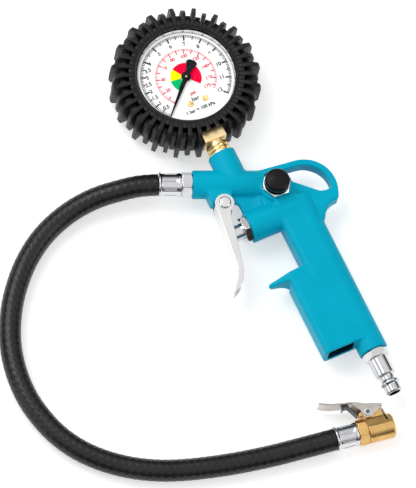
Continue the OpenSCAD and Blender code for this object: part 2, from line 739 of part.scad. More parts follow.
module hose() color([0.09, 0.09, 0.1])
    sweep(hose_route, hose_r, 12, [-1, 0, 0], [cos(chuck_tilt), sin(chuck_tilt), 0]);

// ---- Chuck ----

module chuck_connector() color([0.79, 0.6, 0.25]) chuck() rotate([0, 90, 0]) difference() {
    union() {
        translate([0, 0, hex_at]) rotate(30) hexagon(hex_flat, chuck_hex_len);
        translate([0, 0, 1]) cylinder(r = barb_r - fit, h = hex_at);
        translate([0, 0, hex_at + 1]) cylinder(r = seal_bore_r - fit, h = chuck_hex_len - 1 + spigot);
    }
    cylinder(r = connector_bore_r, h = body_at + spigot + cut);
}

module tower_outline() polygon([
    [tower_back, chuck_r + 1.1], [body_at, chuck_r + 1.1], [body_at, 0], [body_end - 0.6, 0],
    [body_end - 1.4, 3.6], [clip_x + 1.9, 6.4], [clip_x + 1.2, rivet_rise + 0.3],
    [clip_x - 1.6, rivet_rise + 0.7], [rivet_x + 1, rivet_rise + 2.4], [rivet_x - 2, rivet_rise + 2],
    [tower_back, rivet_rise + 0.6]
]);

module chuck_body() color([0.79, 0.6, 0.25]) chuck() difference() {
    union() {
        translate([body_at, 0, 0]) rotate([0, 90, 0]) rotate_extrude() polygon([
            [0, 0], [chuck_r - 0.4, 0], [chuck_r, 0.4],
            [chuck_r, chuck_len - 1.2], [chuck_r - 1.2, chuck_len], [0, chuck_len]
        ]);
        translate([0, 0, -tower_w / 2]) linear_extrude(tower_w) tower_outline();
    }
    translate([body_at - cut, 0, 0]) rotate([0, 90, 0])
        cylinder(r = seal_bore_r, h = chuck_len - mouth_len + cut);
    translate([body_end - mouth_len - cut, 0, 0]) rotate([0, 90, 0])
        cylinder(r = mouth_r, h = mouth_len + 2 * cut);
    translate([rivet_x, rivet_rise, -tower_w]) cylinder(r = rivet_r + fit, h = 2 * tower_w);
    translate([clip_x - clip_eye_r - 0.9, 2.6, -clip_w / 2 - gap]) cube([3.7, 2 * chuck_r, clip_w + 2 * gap]);
}

// Line of the lever's top sheet, from its tip to its nose
function lever_line(off) = [
    [-4, rivet_rise + 12.6 - off], [-1, rivet_rise + 11.4 - off], [3, rivet_rise + 10.1 - off],
    [9, rivet_rise + 9 - off], [14, rivet_rise + 8.4 - off], [17.5, rivet_rise + 7.4 - off],
    [22.3, rivet_rise + 5.4 - off], [clip_x, clip_y + 0.1 - off]
];

module lever_cheek() {
    polygon([
        [14, rivet_rise + 8.3], [17.5, rivet_rise + 7.3], [22.3, rivet_rise + 5.3],
        [clip_x + 1.3, clip_y - 0.1], [clip_x + 1.3, clip_y - 1.5], [clip_x + 0.2, clip_y - 2.5],
        [rivet_x + 1.3, rivet_rise - 3.2], [rivet_x - 1.7, rivet_rise - 3.4], [rivet_x - 2.7, rivet_rise - 2.6],
        [rivet_x - 3.8, rivet_rise + 1.8], [15.4, rivet_rise + 5.4]
    ]);
}

module chuck_lever() color([0.8, 0.79, 0.76]) chuck() difference() {
    union() {
        translate([0, 0, -lever_w / 2]) linear_extrude(lever_w) polygon(concat(
            lever_line(0), [for (i = [7:-1:0]) lever_line(lever_t)[i]]
        ));
        for (z = [-lever_w / 2, lever_w / 2 - lever_t]) translate([0, 0, z])
            linear_extrude(lever_t) lever_cheek();
    }
    translate([rivet_x, rivet_rise, -lever_w]) cylinder(r = rivet_r + run, h = 2 * lever_w);
    translate([clip_x, clip_y - 1, -lever_w]) cylinder(r = clip_pin_r + fit, h = 2 * lever_w);
    translate([clip_x - clip_eye_r - 0.1, clip_y - 1.3, -clip_w / 2 - 0.4])
        cube([clip_eye_r + 3, 5, clip_w + 0.8]);
}

module chuck_rivet() color([0.7, 0.7, 0.72]) chuck() translate([rivet_x, rivet_rise, 0]) {
    translate([0, 0, -lever_w / 2 - 0.1]) cylinder(r = rivet_r, h = lever_w + 0.2);
    for (z = [-lever_w / 2 - 0.7, lever_w / 2 + 0.1]) translate([0, 0, z])
        cylinder(r = rivet_r + 0.9, h = 0.6);
}

module chuck_clip_pin() color([0.7, 0.7, 0.72]) chuck() translate([clip_x, clip_y - 1, -lever_w / 2 - 0.3])
    cylinder(r = clip_pin_r, h = lever_w + 0.6);

module chuck_clip() color([0.72, 0.72, 0.74]) chuck() difference() {
    translate([0, 0, -clip_w / 2]) {
        translate([clip_x, clip_y - 1, 0]) cylinder(r = clip_eye_r, h = clip_w);
        linear_extrude(clip_w) polygon([
            [clip_x - 0.9, clip_y - 1.3], [clip_x + 0.9, clip_y - 1.3], [clip_x + 0.9, 6],
            [clip_x + 1, mouth_r + fit], [clip_x, mouth_r + 0.3], [clip_x - 0.1, 6]
        ]);
    }
    translate([clip_x, clip_y - 1, -lever_w]) cylinder(r = clip_pin_r + run, h = 2 * lever_w);
}

// Leaf spring riveted under the lever; its foot rests against the tower
module chuck_spring() color([0.16, 0.16, 0.17]) chuck() translate([0, 0, -3]) linear_extrude(6) {
    foot = tower_back - 0.5;
    polygon([
        [8.4, rivet_rise + 5.8],
        lever_line(lever_t)[3] + [0.6, -0.072], lever_line(lever_t)[3] + [3.4, -0.408],
        [14.4, rivet_rise + 4.4], [foot, rivet_rise + 0.6], [foot, rivet_rise - 0.1],
        [foot - 0.6, rivet_rise], [foot - 0.7, rivet_rise + 0.5], [14, rivet_rise + 3.9],
        [12.1, rivet_rise + 6.7], [9.9, rivet_rise + 6.5], [8.8, rivet_rise + 5.4]
    ]);
}

module chuck_seal() color([0.1, 0.1, 0.1]) chuck() translate([seal_at, 0, 0])
    rotate([0, 90, 0]) tube(seal_t, seal_bore_r - fit, 1.9);

// Perforated disc whose pin opens the tyre valve
module chuck_depressor() color([0.78, 0.62, 0.3]) chuck() rotate([0, 90, 0]) difference() {
    translate([0, 0, seal_at - disc_t]) {
        cylinder(r = seal_bore_r - fit, h = disc_t);
        cylinder(r = 0.9, h = disc_t + seal_t - gap);
    }
    for (a = [0:120:240]) rotate(a) translate([2.2, 0, body_at]) cylinder(r = 0.7, h = 10);
}

// ---- Rubber boot ----

module fin_outline() {
    pitch = 360 / fin_count;
    polygon([for (i = [0:fin_count - 1])
        let (tip = fin_r - (i % 2) * fin_step, a = (i + 0.5) * pitch)
        each [
            turned([boot_r - 1, -fin_root / 2], a), turned([tip - 1.2, -fin_tip / 2], a),
            turned([tip, -0.5], a), turned([tip, 0.5], a),
            turned([tip - 1.2, fin_tip / 2], a), turned([boot_r - 1, fin_root / 2], a)
        ]
    ]);
}

module gauge_boot() color([0.1, 0.1, 0.11]) dial() difference() {
    union() {
        rotate_extrude() polygon([
            [0, 0], [boot_r - 1.5, 0], [boot_r, 1.5], [boot_r, fin_front], [ring_r - 1.2, fin_front],
            [ring_r - 1.2, fin_front + 0.8], [ring_r, fin_front + 1.2], [ring_r, boot_h - 0.8],
            [ring_r - 0.8, boot_h], [0, boot_h]
        ]);
        intersection() {
            linear_extrude(boot_h) fin_outline();
            rotate_extrude() polygon([
                [0, 0.8], [boot_r, 0.8], [fin_r, 0.8 + fin_rake], [fin_r, fin_front - fin_rake],
                [boot_r, fin_front - 0.2], [0, fin_front - 0.2]
            ]);
        }
    }
    translate([0, 0, boot_back]) cylinder(r = case_r + fit, h = case_depth + fit);
    translate([0, 0, rim_z - cut]) cylinder(r = case_r - lip_w, h = lip_t + 2 * cut);
    // Way out for the connection
    translate([-stem_flat / 2 - gap, -fin_r - cut, mid_z - stem_flat / 2 - gap])
        cube([stem_flat + 2 * gap, fin_r - case_r + 4, stem_flat + 2 * gap]);
    translate([-stem_flat / 2 - 2.5, -fin_r - cut, -cut])
        cube([stem_flat + 5, fin_r - boot_r + cut, boot_h + 2 * cut]);
    // Grooves in the front face, between its raised blocks
    for (i = [0:fin_count - 1]) rotate(i * 360 / fin_count)
        translate([case_r + 1.2, -groove_w / 2, boot_h - groove_t])
            cube([boot_wall, groove_w, groove_t + cut]);
}

// ---- Gauge ----

module gauge_case() color([0.75, 0.76, 0.78]) dial() translate([0, 0, boot_back]) difference() {
    cylinder(r = case_r, h = case_depth);
    translate([0, 0, case_wall]) cylinder(r = bore_r, h = case_depth);
    translate([-stem_flat / 2 - 0.1, -case_r - cut, stem_setback - stem_flat / 2 - 0.1])
        cube([stem_flat + 0.2, 8, stem_flat + 0.2]);
}

module gauge_bezel() color([0.8, 0.81, 0.82]) translate([0, 0, dial_z + dial_t]) rotate_extrude() polygon([
    [bore_r - 0.1, 0], [bore_r - 0.1, bezel_h], [bore_r - bezel_w + 0.9, bezel_h], [bore_r - bezel_w, 0.6],
    [bore_r - bezel_w, 0]
]);

module gauge_lens() color([0.9, 0.95, 1.0, 0.3]) translate([0, 0, lens_z])
    cylinder(r = bore_r - 0.1, h = lens_t);

module dial_plate() color([0.95, 0.95, 0.93]) dial() translate([0, 0, dial_z]) difference() {
    cylinder(r = bore_r - 0.1, h = dial_t);
    translate([0, 0, -cut]) cylinder(r = 2.4, h = 4);
    for (x = [-screw_x, screw_x]) translate([x, screw_y, -cut]) cylinder(r = dial_screw_r + 0.1, h = 4);
}

module dial_screws() color([0.78, 0.62, 0.3]) dial()
    for (x = [-screw_x, screw_x]) translate([x, screw_y, 0]) {
    difference() {
        translate([0, 0, dial_z + dial_t]) cylinder(r = dial_screw_r + 0.9, h = 0.8);
        translate([-3, -0.25, dial_z + dial_t + 0.4]) cube([6, 0.5, 1]);
    }
    translate([0, 0, bridge_z + 0.3]) cylinder(r = dial_screw_r, h = dial_z + dial_t - bridge_z - 0.2);
}

// The pointer rests at 45 degrees to the connection, on the dial's zero
module pointer() color([0.06, 0.06, 0.07]) dial() translate([0, 0, pointer_z]) rotate(-135) difference() {
    union() {
        linear_extrude(0.5) polygon([
            [pointer_len, 0.35], [pointer_len, -0.35], [0, -1.5], [-3.4, -1.3], [-7, -2.4], [-9.4, -3.3],
            [-10.6, -2.9], [-11.2, -1.6], [-11.3, 0], [-11.2, 1.6], [-10.6, 2.9], [-9.4, 3.3], [-7, 2.4],
            [-3.4, 1.3], [0, 1.5]
        ]);
        cylinder(r = pointer_hub_r, h = 0.9);
    }
    translate([0, 0, -cut]) cylinder(r = arbor_r + fit, h = 4);
}

module gauge_stem() color([0.84, 0.66, 0.3]) dial() difference() {
    union() {
        translate([-stem_flat / 2, -stem_square_end, mid_z - stem_flat / 2])
            cube([stem_flat, stem_square_end - tube_r + 1.5, stem_flat]);
        translate([-pillar_x - 2.5, -tube_r - 1.5, base_z - 3]) cube([2 * pillar_x + 5, 10, 3]);
        translate([0, -stem_square_end + cut, mid_z]) rotate([90, 0, 0]) cylinder(r = port_r - 0.8, h = 4);
        translate([0, -stem_square_end - 1.2, mid_z]) rotate([90, 0, 0])
            cylinder(r = port_r - fit, h = stem_reach + stem_grip - stem_square_end - 1.2);
    }
    translate([0, -tube_r - 0.5, mid_z]) rotate([90, 0, 0]) cylinder(r = 1.8, h = 60);
    bourdon_shape(0.08);
    for (x = [-pillar_x, pillar_x]) translate([x, pillar_y, base_z - 2.5])
        cylinder(r = pillar_screw_r, h = 6);
}

// C-shaped flat tube from its free end round to the connection
module bourdon_shape(grow) translate([0, 0, mid_z]) rotate(tube_end)
    rotate_extrude(angle = 270 - tube_end - 0.5) translate([tube_r, 0])
        square([tube_w + 2 * grow, tube_h + 2 * grow], center = true);

module bourdon_tube() color([0.75, 0.55, 0.25]) dial() bourdon_shape(0);

module tube_tip() color([0.78, 0.62, 0.3]) dial() rotate(tube_end)
    translate([tube_r - tip_in - 1.5, -3.6, mid_z - tube_h / 2]) difference() {
        cube([tip_in + 3.1, 3.6, sector_z + sector_t - mid_z + tube_h / 2]);
        translate([1.5, 1.4, -cut]) cylinder(r = 0.5, h = 20);
    }

module movement_outline() {
    neck = pillar_y - 2 + plate_foot - 2;
    translate([-pillar_x - 2.2, pillar_y - 2]) square([2 * pillar_x + 4.4, plate_foot]);
    translate([-plate_w / 2, neck]) square([plate_w, plate_top - neck]);
}

module plate_bores() {
    translate([0, 0, -cut]) cylinder(r = arbor_r + run, h = 20);
    translate([0, sector_y, -cut]) cylinder(r = sector_pivot_r + run, h = 20);
    for (x = [-pillar_x, pillar_x]) translate([x, pillar_y, -cut]) cylinder(r = pillar_screw_r, h = 20);
}

module movement_base() color([0.82, 0.68, 0.36]) dial() translate([0, 0, base_z]) difference() {
    linear_extrude(plate_t) movement_outline();
    plate_bores();
}

module movement_bridge() color([0.82, 0.68, 0.36]) dial() translate([0, 0, bridge_z]) difference() {
    union() {
        linear_extrude(plate_t) movement_outline();
        for (x = [-screw_x, screw_x]) translate([x, screw_y, plate_t - 0.1])
            cylinder(r = dial_screw_r + 0.6, h = dial_z - bridge_z - plate_t + 0.1);
        translate([4.7, 0, -2]) cylinder(r = 0.5, h = 2.1);
    }
    plate_bores();
    for (x = [-screw_x, screw_x]) translate([x, screw_y, 0.2]) cylinder(r = dial_screw_r + fit, h = 10);
}

module movement_pillar() color([0.82, 0.68, 0.36]) dial() {
    translate([0, plate_top - 1, base_z + plate_t]) cylinder(r = 1.5, h = bridge_z - base_z - plate_t);
    for (x = [-pillar_x, pillar_x]) translate([x, pillar_y, base_z + plate_t])
        tube(bridge_z - base_z - plate_t, pillar_screw_r + 0.7, pillar_screw_r);
}

module movement_screws() color([0.7, 0.7, 0.72]) dial()
    for (x = [-pillar_x, pillar_x]) translate([x, pillar_y, 0]) {
    translate([0, 0, base_z - 2.3]) cylinder(r = pillar_screw_r - fit, h = bridge_z + plate_t - base_z + 2.3);
    translate([0, 0, bridge_z + plate_t]) cylinder(r = pillar_screw_r + gap, h = 0.7);
}

module gear_tooth(r, foot, tip) polygon([
    [r - 0.45, -foot / 2], [r + 0.26, -tip / 2], [r + 0.26, tip / 2], [r - 0.45, foot / 2]
]);

module sector_gear() color([0.82, 0.68, 0.36]) dial() translate([0, sector_y, 0]) {
    pitch = 360 / sector_teeth;
    translate([0, 0, sector_z]) linear_extrude(sector_t) {
        circle(2);
        polygon(concat([[0, -1]], [for (a = [48:6:102]) (sector_r - 0.4) * [cos(a), sin(a)]], [[-1, 0]]));
        for (i = [-1:8]) rotate(90 - i * pitch) gear_tooth(sector_r, 0.5, 0.22);
        rotate(tail_angle) polygon([
            [0, -1.2], [tail_len, -0.9], [tail_len + 0.8, 0], [tail_len, 0.9], [0, 1.2]
        ]);
    }
    translate([0, 0, base_z + 0.1]) cylinder(r = sector_pivot_r, h = bridge_z + plate_t - base_z - 0.2);
    rotate(tail_angle) translate([tail_len, 0, sector_z + 0.5]) cylinder(r = link_pin_r, h = sector_t + 0.6);
}

module pinion_arbor() color([0.82, 0.68, 0.36]) dial() {
    translate([0, 0, base_z + 0.1]) cylinder(r = arbor_r, h = pointer_z + 1 - base_z - 0.1);
    translate([0, 0, sector_z - 0.4]) linear_extrude(sector_t + 0.8) {
        circle(pinion_r - 0.4);
        for (i = [0:pinion_teeth - 1]) rotate(-72 + i * 36) gear_tooth(pinion_r, 0.36, 0.14);
    }
}

// The link turns on the sector's tail; its far eye lies over the tube's tip
module sector_link() color([0.82, 0.68, 0.36]) dial() {
    tail = [0, sector_y] + turned([tail_len, 0], tail_angle);
    tip = turned([tube_r - tip_in, -2.2], tube_end);
    way = unit(tip - tail);
    translate([tail.x, tail.y, sector_z + sector_t + 0.1]) rotate(atan2(way.y, way.x)) difference() {
        union() {
            cylinder(r = link_eye_r, h = link_t);
            translate([norm(tip - tail), 0, 0]) cylinder(r = link_eye_r, h = link_t);
            translate([0.8, -0.7, 0]) cube([norm(tip - tail) - 1.6, 1.4, link_t]);
        }
        translate([0, 0, -cut]) cylinder(r = link_pin_r + run, h = 3);
        translate([norm(tip - tail), 0, -cut]) cylinder(r = 0.5, h = 3);
    }
}

spring_turns = 4;
function spiral(off) = [for (i = [0:spring_turns * 16])
    (1.1 + off + 2.9 * i / spring_turns / 16) * [cos(22.5 * i), sin(22.5 * i)]
];

module hairspring() color([0.6, 0.45, 0.25]) dial() translate([0, 0, sector_z + 2.4]) {
    inner = spiral(0);
    linear_extrude(0.6) polygon(concat(spiral(0.2), [for (i = [len(inner) - 1:-1:0]) inner[i]]));
}

gun_body();
hose_nipple();
hose_ferrule_gun();
hose();
hose_ferrule_chuck();
chuck_connector();
chuck_body();
chuck_lever();
chuck_rivet();
chuck_clip();
chuck_clip_pin();
chuck_spring();
chuck_seal();
chuck_depressor();
trigger();
trigger_pin();
trigger_pin_ring();
valve_gland();
gland_oring();
valve_plunger();
valve_seat();
valve_poppet();
poppet_seal();
valve_spring();
bleed_nut();
bleed_button();
bleed_stem();
bleed_seal();
bleed_spring();
inlet_plug();
gauge_boot();
gauge_case();
gauge_bezel();
gauge_lens();
dial_plate();
dial_screws();
pointer();
gauge_stem();
bourdon_tube();
tube_tip();
movement_base();
movement_bridge();
movement_pillar();
movement_screws();
sector_gear();
pinion_arbor();
sector_link();
hairspring();
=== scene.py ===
"""A hand-held tyre inflator, dressed over its CAD frame.

A cast gun with a gauge in a rubber boot, a short hose and a clip-on chuck."""

import math

import bmesh
import bpy
import numpy as np
from mathutils import Matrix, Vector


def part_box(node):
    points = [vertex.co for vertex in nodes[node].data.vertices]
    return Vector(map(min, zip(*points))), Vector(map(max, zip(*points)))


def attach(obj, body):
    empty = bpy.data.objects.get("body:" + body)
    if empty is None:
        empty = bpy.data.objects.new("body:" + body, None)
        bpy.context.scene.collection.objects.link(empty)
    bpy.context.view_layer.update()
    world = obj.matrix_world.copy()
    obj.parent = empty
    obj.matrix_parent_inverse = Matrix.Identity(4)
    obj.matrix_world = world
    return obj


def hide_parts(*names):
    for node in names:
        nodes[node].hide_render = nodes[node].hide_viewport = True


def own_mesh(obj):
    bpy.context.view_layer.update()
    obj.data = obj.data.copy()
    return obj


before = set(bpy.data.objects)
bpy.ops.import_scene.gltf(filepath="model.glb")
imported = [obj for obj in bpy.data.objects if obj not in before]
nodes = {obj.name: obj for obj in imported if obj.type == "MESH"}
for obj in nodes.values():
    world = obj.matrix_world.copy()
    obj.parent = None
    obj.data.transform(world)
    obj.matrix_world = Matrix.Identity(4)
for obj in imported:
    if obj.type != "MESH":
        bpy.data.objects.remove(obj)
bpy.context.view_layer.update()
MM = 0.001

# ---- Camera ----
# A long lens looks down on the flat-lying inflator at about 22 degrees off the vertical, leaning
# towards the handle's end and a little to the left. It stands four metres off, so the view is
# close to a parallel one.


def into_scene(name, data):
    """A new object in the scene that carries the data."""
    piece = bpy.data.objects.new(name, data)
    bpy.context.collection.objects.link(piece)
    return piece


lens_right = Vector((0.9945, -0.0369, 0.0955))
lens_back = Vector((-0.1023, -0.3554, 0.9280))
lens_right = (lens_right - lens_back * lens_right.dot(lens_back)).normalized()
lens_back.normalize()
lens_up = lens_back.cross(lens_right)
aim = Vector((0.0101, -0.1025, 0.014))
stand_off = 4.0
camera = into_scene("camera", bpy.data.cameras.new("camera"))
lens_axes = Matrix((lens_right, lens_up, lens_back)).transposed().to_4x4()
camera.matrix_world = Matrix.Translation(aim + lens_back * stand_off) @ lens_axes
camera.data.sensor_width = 36.0
camera.data.lens = 501.6
camera.data.clip_end = 20.0
bpy.context.scene.camera = camera

# ---- Hose ----
# Short air hose of black rubber over textile braid, wrapped in cloth while it is cured, which
# leaves its faint diagonal print. Pushed on barbs under the ferrules, it shows from one ferrule
# to the other and runs in one wide bow over the table to the chuck.
hose_route = [
    (-18, -65.1, 14), (-30, -66, 13.6), (-42, -68.5, 12.4), (-54, -71.8, 10.4),
    (-65, -76.8, 8.6), (-75, -83.6, 7.4), (-84, -92, 6.8), (-91, -101, 6.6),
    (-97, -111.5, 6.6), (-101.5, -122.5, 6.6), (-105, -134.5, 6.6), (-107, -147, 6.6),
    (-107.5, -159.5, 6.6), (-106.2, -172, 6.6), (-103, -184.5, 6.6), (-98, -196.5, 6.6),
    (-91, -207.5, 6.6), (-82.5, -217.5, 6.6), (-72, -226, 6.6), (-60.5, -232.3, 6.6),
    (-48, -236.8, 6.6), (-35, -239.6, 6.6), (-21.5, -240.8, 6.6), (-8, -240.4, 6.6),
    (5.5, -239, 6.6), (19, -237, 6.6), (32.5, -234.4, 6.6), (46, -231.4, 6.7),
    (58, -228.3, 7), (70, -225.2, 7.4), (81, -222.3, 7.8),
]
hose_radius = 6.42 * MM
hose_sides = 64
hose_step = 0.6 * MM


def smooth_line(points, step):
    """Points every step along a smooth curve through the given ones, with the last one kept."""
    p = np.array(points, float)
    ends = np.vstack([2 * p[0] - p[1], p, 2 * p[-1] - p[-2]])
    finer = 40
    t = np.linspace(0, 1, finer, endpoint=False)[:, None]
    dense = []
    for i in range(len(p) - 1):
        a, b, c, d = ends[i:i + 4]
        dense.append(0.5 * (2 * b + (c - a) * t + (2 * a - 5 * b + 4 * c - d) * t**2
                            + (3 * b - a - 3 * c + d) * t**3))
    dense = np.vstack(dense + [p[-1:]])
    run = np.concatenate([[0], np.cumsum(np.linalg.norm(np.diff(dense, axis=0), axis=1))])
    at = np.linspace(0, run[-1], max(2, int(round(run[-1] / step)) + 1))
    return np.stack([np.interp(at, run, dense[:, k]) for k in range(3)], axis=1), at


def circle(sides):
    """The angles of a full turn in equal steps."""
    return np.arange(sides) * 2 * math.pi / sides


def new_piece(name, verts, faces, material, smooth=True):
    """A mesh object in the frame's own place."""
    mesh = bpy.data.meshes.new(name)
    mesh.from_pydata([tuple(v) for v in verts], [], faces)
    mesh.update()
    mesh.materials.append(material)
    if smooth:
        mesh.polygons.foreach_set("use_smooth", [True] * len(mesh.polygons))
    return into_scene(name, mesh)


def swept_tube(name, line, radii, sides, material):
    """A closed tube along a line; radii gives the radius at each point of each ring."""
    n = len(line)
    way = np.gradient(line, axis=0)
    way /= np.linalg.norm(way, axis=1)[:, None]
    across = np.cross([0, 0, 1.0], way)
    across /= np.linalg.norm(across, axis=1)[:, None]
    up = np.cross(way, across)
    turn = circle(sides)[None, :, None]
    ring = across[:, None, :] * np.cos(turn) + up[:, None, :] * np.sin(turn)
    verts = (line[:, None, :] + ring * radii[:, :, None]).reshape(-1, 3)
    faces = []
    for i in range(n - 1):
        for j in range(sides):
            k = (j + 1) % sides
            faces.append((i * sides + j, i * sides + k, (i + 1) * sides + k, (i + 1) * sides + j))
    faces.append(tuple(range(sides))[::-1])
    faces.append(tuple((n - 1) * sides + j for j in range(sides)))
    return new_piece(name, verts, faces, material)


def shader(name, colour, roughness, metallic=0.0, **more):
    """A principled material and its nodes; more names further sockets of the shader."""
    material = bpy.data.materials.new(name)
    material.use_nodes = True
    tree = material.node_tree
    base = tree.nodes["Principled BSDF"]
    base.inputs["Base Color"].default_value = (*colour, 1)
    base.inputs["Roughness"].default_value = roughness
    base.inputs["Metallic"].default_value = metallic
    for socket, value in more.items():
        base.inputs[socket.replace("_", " ")].default_value = value
    return material, tree, base


def place(tree):
    """The piece's own coordinates in metres."""
    return tree.nodes.new("ShaderNodeTexCoord").outputs["Object"]


def noise(tree, vector, scale, detail):
    """A soft random texture over the given coordinates."""
    node = tree.nodes.new("ShaderNodeTexNoise")
    node.inputs["Scale"].default_value = scale
    node.inputs["Detail"].default_value = detail
    tree.links.new(vector, node.inputs["Vector"])
    return node.outputs["Fac"]


def spread(tree, value, low, high, start=0.3, end=0.7):
    """Maps a texture's value from start..end to low..high."""
    node = tree.nodes.new("ShaderNodeMapRange")
    for socket, number in (("From Min", start), ("From Max", end),
                           ("To Min", low), ("To Max", high)):
        node.inputs[socket].default_value = number
    tree.links.new(value, node.inputs["Value"])
    return node.outputs["Result"]


def tint(tree, base, value, dark, light, start=0.3, end=0.7):
    """Colours the shader between two tones by a texture's value."""
    ramp = tree.nodes.new("ShaderNodeValToRGB")
    for stop, at, tone in zip(ramp.color_ramp.elements, (start, end), (dark, light)):
        stop.position, stop.color = at, (*tone, 1)
    tree.links.new(value, ramp.inputs["Fac"])
    tree.links.new(ramp.outputs["Color"], base.inputs["Base Color"])


def relief(tree, base, value, height):
    """Lifts the surface by a texture's value; height in metres."""
    bump = tree.nodes.new("ShaderNodeBump")
    bump.inputs["Distance"].default_value = height
    tree.links.new(value, bump.inputs["Height"])
    tree.links.new(bump.outputs["Normal"], base.inputs["Normal"])


def shade(value):
    """Linear tone of an 8-bit screen tone."""
    s = value / 255
    return s / 12.92 if s <= 0.04045 else ((s + 0.055) / 1.055) ** 2.4


def rgb(r, g, b):
    """Linear colour of an 8-bit screen colour."""
    return (shade(r), shade(g), shade(b))


hose_line, hose_run = smooth_line([(x * MM, y * MM, z * MM) for x, y, z in hose_route], hose_step)
hose_finish, tree, base = shader("hose_rubber", rgb(30, 31, 33), 0.34, Specular_IOR_Level=0.36)
skin = place(tree)
tint(tree, base, noise(tree, skin, 90, 4), rgb(10, 11, 12), rgb(26, 27, 29))
tree.links.new(spread(tree, noise(tree, skin, 400, 3), 0.26, 0.4), base.inputs["Roughness"])
relief(tree, base, noise(tree, skin, 2200, 2), 0.03 * MM)
# Imprint of the cloth: two sets of slanting threads, one stronger than the other
print_pitch = 4.4 * MM
print_threads = 8
print_height = 0.12 * MM
weft_share = 0.6
lengthwise = hose_run[:, None] * 2 * math.pi / print_pitch
around = circle(hose_sides)[None, :] * print_threads
wrap = np.sin(lengthwise + around)
weft = np.sin(lengthwise - around)
weave = print_height * np.maximum(wrap, weft_share * weft)
hose = swept_tube("hose_wrapped", hose_line, hose_radius + weave, hose_sides, hose_finish)
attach(hose, "gun")
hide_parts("hose")

# ---- Floor and lamps ----
# A plain white table top under soft studio light: one large lamp above to the left, weaker ones to
# the right and low at the left. The table is lifted to white where it is seen or mirrored and keeps
# its soft shadow. The room is dark low down and white above, which gives bright metal its stripes.


def reckoned(tree, how, one, other):
    """The outcome of one step of arithmetic on two values."""
    node = tree.nodes.new("ShaderNodeMath")
    node.operation = how
    tree.links.new(one, node.inputs[0])
    tree.links.new(other, node.inputs[1])
    return node.outputs[0]


floor_finish, tree, base = shader("floor_white", (0.82, 0.82, 0.82), 0.9)
seen = tree.nodes.new("ShaderNodeLightPath").outputs
looked_at = reckoned(tree, "MAXIMUM", seen["Is Camera Ray"], seen["Is Glossy Ray"])
looked_at = reckoned(tree, "MAXIMUM", looked_at, seen["Is Transmission Ray"])
glow = tree.nodes.new("ShaderNodeEmission")
glow.inputs["Color"].default_value = (1, 1, 1, 1)
glow.inputs["Strength"].default_value = 0.5
dark = tree.nodes.new("ShaderNodeEmission")
dark.inputs["Strength"].default_value = 0.0
lift = tree.nodes.new("ShaderNodeMixShader")
tree.links.new(looked_at, lift.inputs["Fac"])
tree.links.new(dark.outputs["Emission"], lift.inputs[1])
tree.links.new(glow.outputs["Emission"], lift.inputs[2])
both = tree.nodes.new("ShaderNodeAddShader")
tree.links.new(base.outputs["BSDF"], both.inputs[0])
tree.links.new(lift.outputs["Shader"], both.inputs[1])
tree.links.new(both.outputs["Shader"], tree.nodes["Material Output"].inputs["Surface"])
floor_reach = 3
floor_z = -0.2 * MM
corners = [(x * floor_reach, y * floor_reach, floor_z)
           for x, y in ((-1, -1), (1, -1), (1, 1), (-1, 1))]
floor = new_piece("floor", corners, [(0, 1, 2, 3)], floor_finish, smooth=False)


def lamp(name, at, size, power):
    """A square soft lamp aimed at the middle of the inflator."""
    light = bpy.data.lights.new(name, "AREA")
    light.size = size
    light.energy = power
    at = Vector(at)
    facing = (at - aim).to_track_quat("Z", "Y").to_matrix().to_4x4()
    into_scene(name, light).matrix_world = Matrix.Translation(at) @ facing


bpy.context.scene.view_settings.view_transform = "Standard"
lamp("lamp_key", (-0.75, 0.45, 1.25), 1.0, 11)
lamp("lamp_fill", (1.2, -0.5, 0.9), 0.8, 3.5)
lamp("lamp_side", (-1.1, -0.45, 0.4), 0.6, 2)
world = bpy.data.worlds.new("studio")
bpy.context.scene.world = world
world.use_nodes = True
sky = world.node_tree
toward = sky.nodes.new("ShaderNodeTexCoord")
split = sky.nodes.new("ShaderNodeSeparateXYZ")
sky.links.new(toward.outputs["Generated"], split.inputs["Vector"])


def room_tones(tones):
    """The room's tone by height, from the floor's edge at 0 to straight above at 1."""
    ramp = sky.nodes.new("ShaderNodeValToRGB")
    stops = ramp.color_ramp.elements
    for (at, tone), stop in zip((tones[0], tones[-1]), (stops[0], stops[1])):
        stop.position, stop.color = at, (tone, tone, tone, 1)
    for at, tone in tones[1:-1]:
        stops.new(at).color = (tone, tone, tone, 1)
    sky.links.new(split.outputs["Z"], ramp.inputs["Fac"])
    return ramp.outputs["Color"]


# What the eye and the glass see of the room is white, and bright metal mirrors its tones. The rest
# of it lights the inflator.
lighting = room_tones([(0.0, 0.42), (0.5, 0.45), (1.0, 0.48)])
reflections = room_tones([(0.0, 0.02), (0.28, 0.03), (0.55, 0.5), (0.8, 1.0), (1.0, 1.0)])
seen = sky.nodes.new("ShaderNodeLightPath").outputs
mirrored = sky.nodes.new("ShaderNodeMixRGB")
sky.links.new(seen["Is Glossy Ray"], mirrored.inputs["Fac"])
sky.links.new(lighting, mirrored.inputs["Color1"])
sky.links.new(reflections, mirrored.inputs["Color2"])
looked_at = reckoned(sky, "MAXIMUM", seen["Is Camera Ray"], seen["Is Transmission Ray"])
room = sky.nodes.new("ShaderNodeMixRGB")
room.inputs["Color2"].default_value = (1, 1, 1, 1)
sky.links.new(looked_at, room.inputs["Fac"])
sky.links.new(mirrored.outputs["Color"], room.inputs["Color1"])
sky.links.new(room.outputs["Color"], sky.nodes["Background"].inputs["Color"])

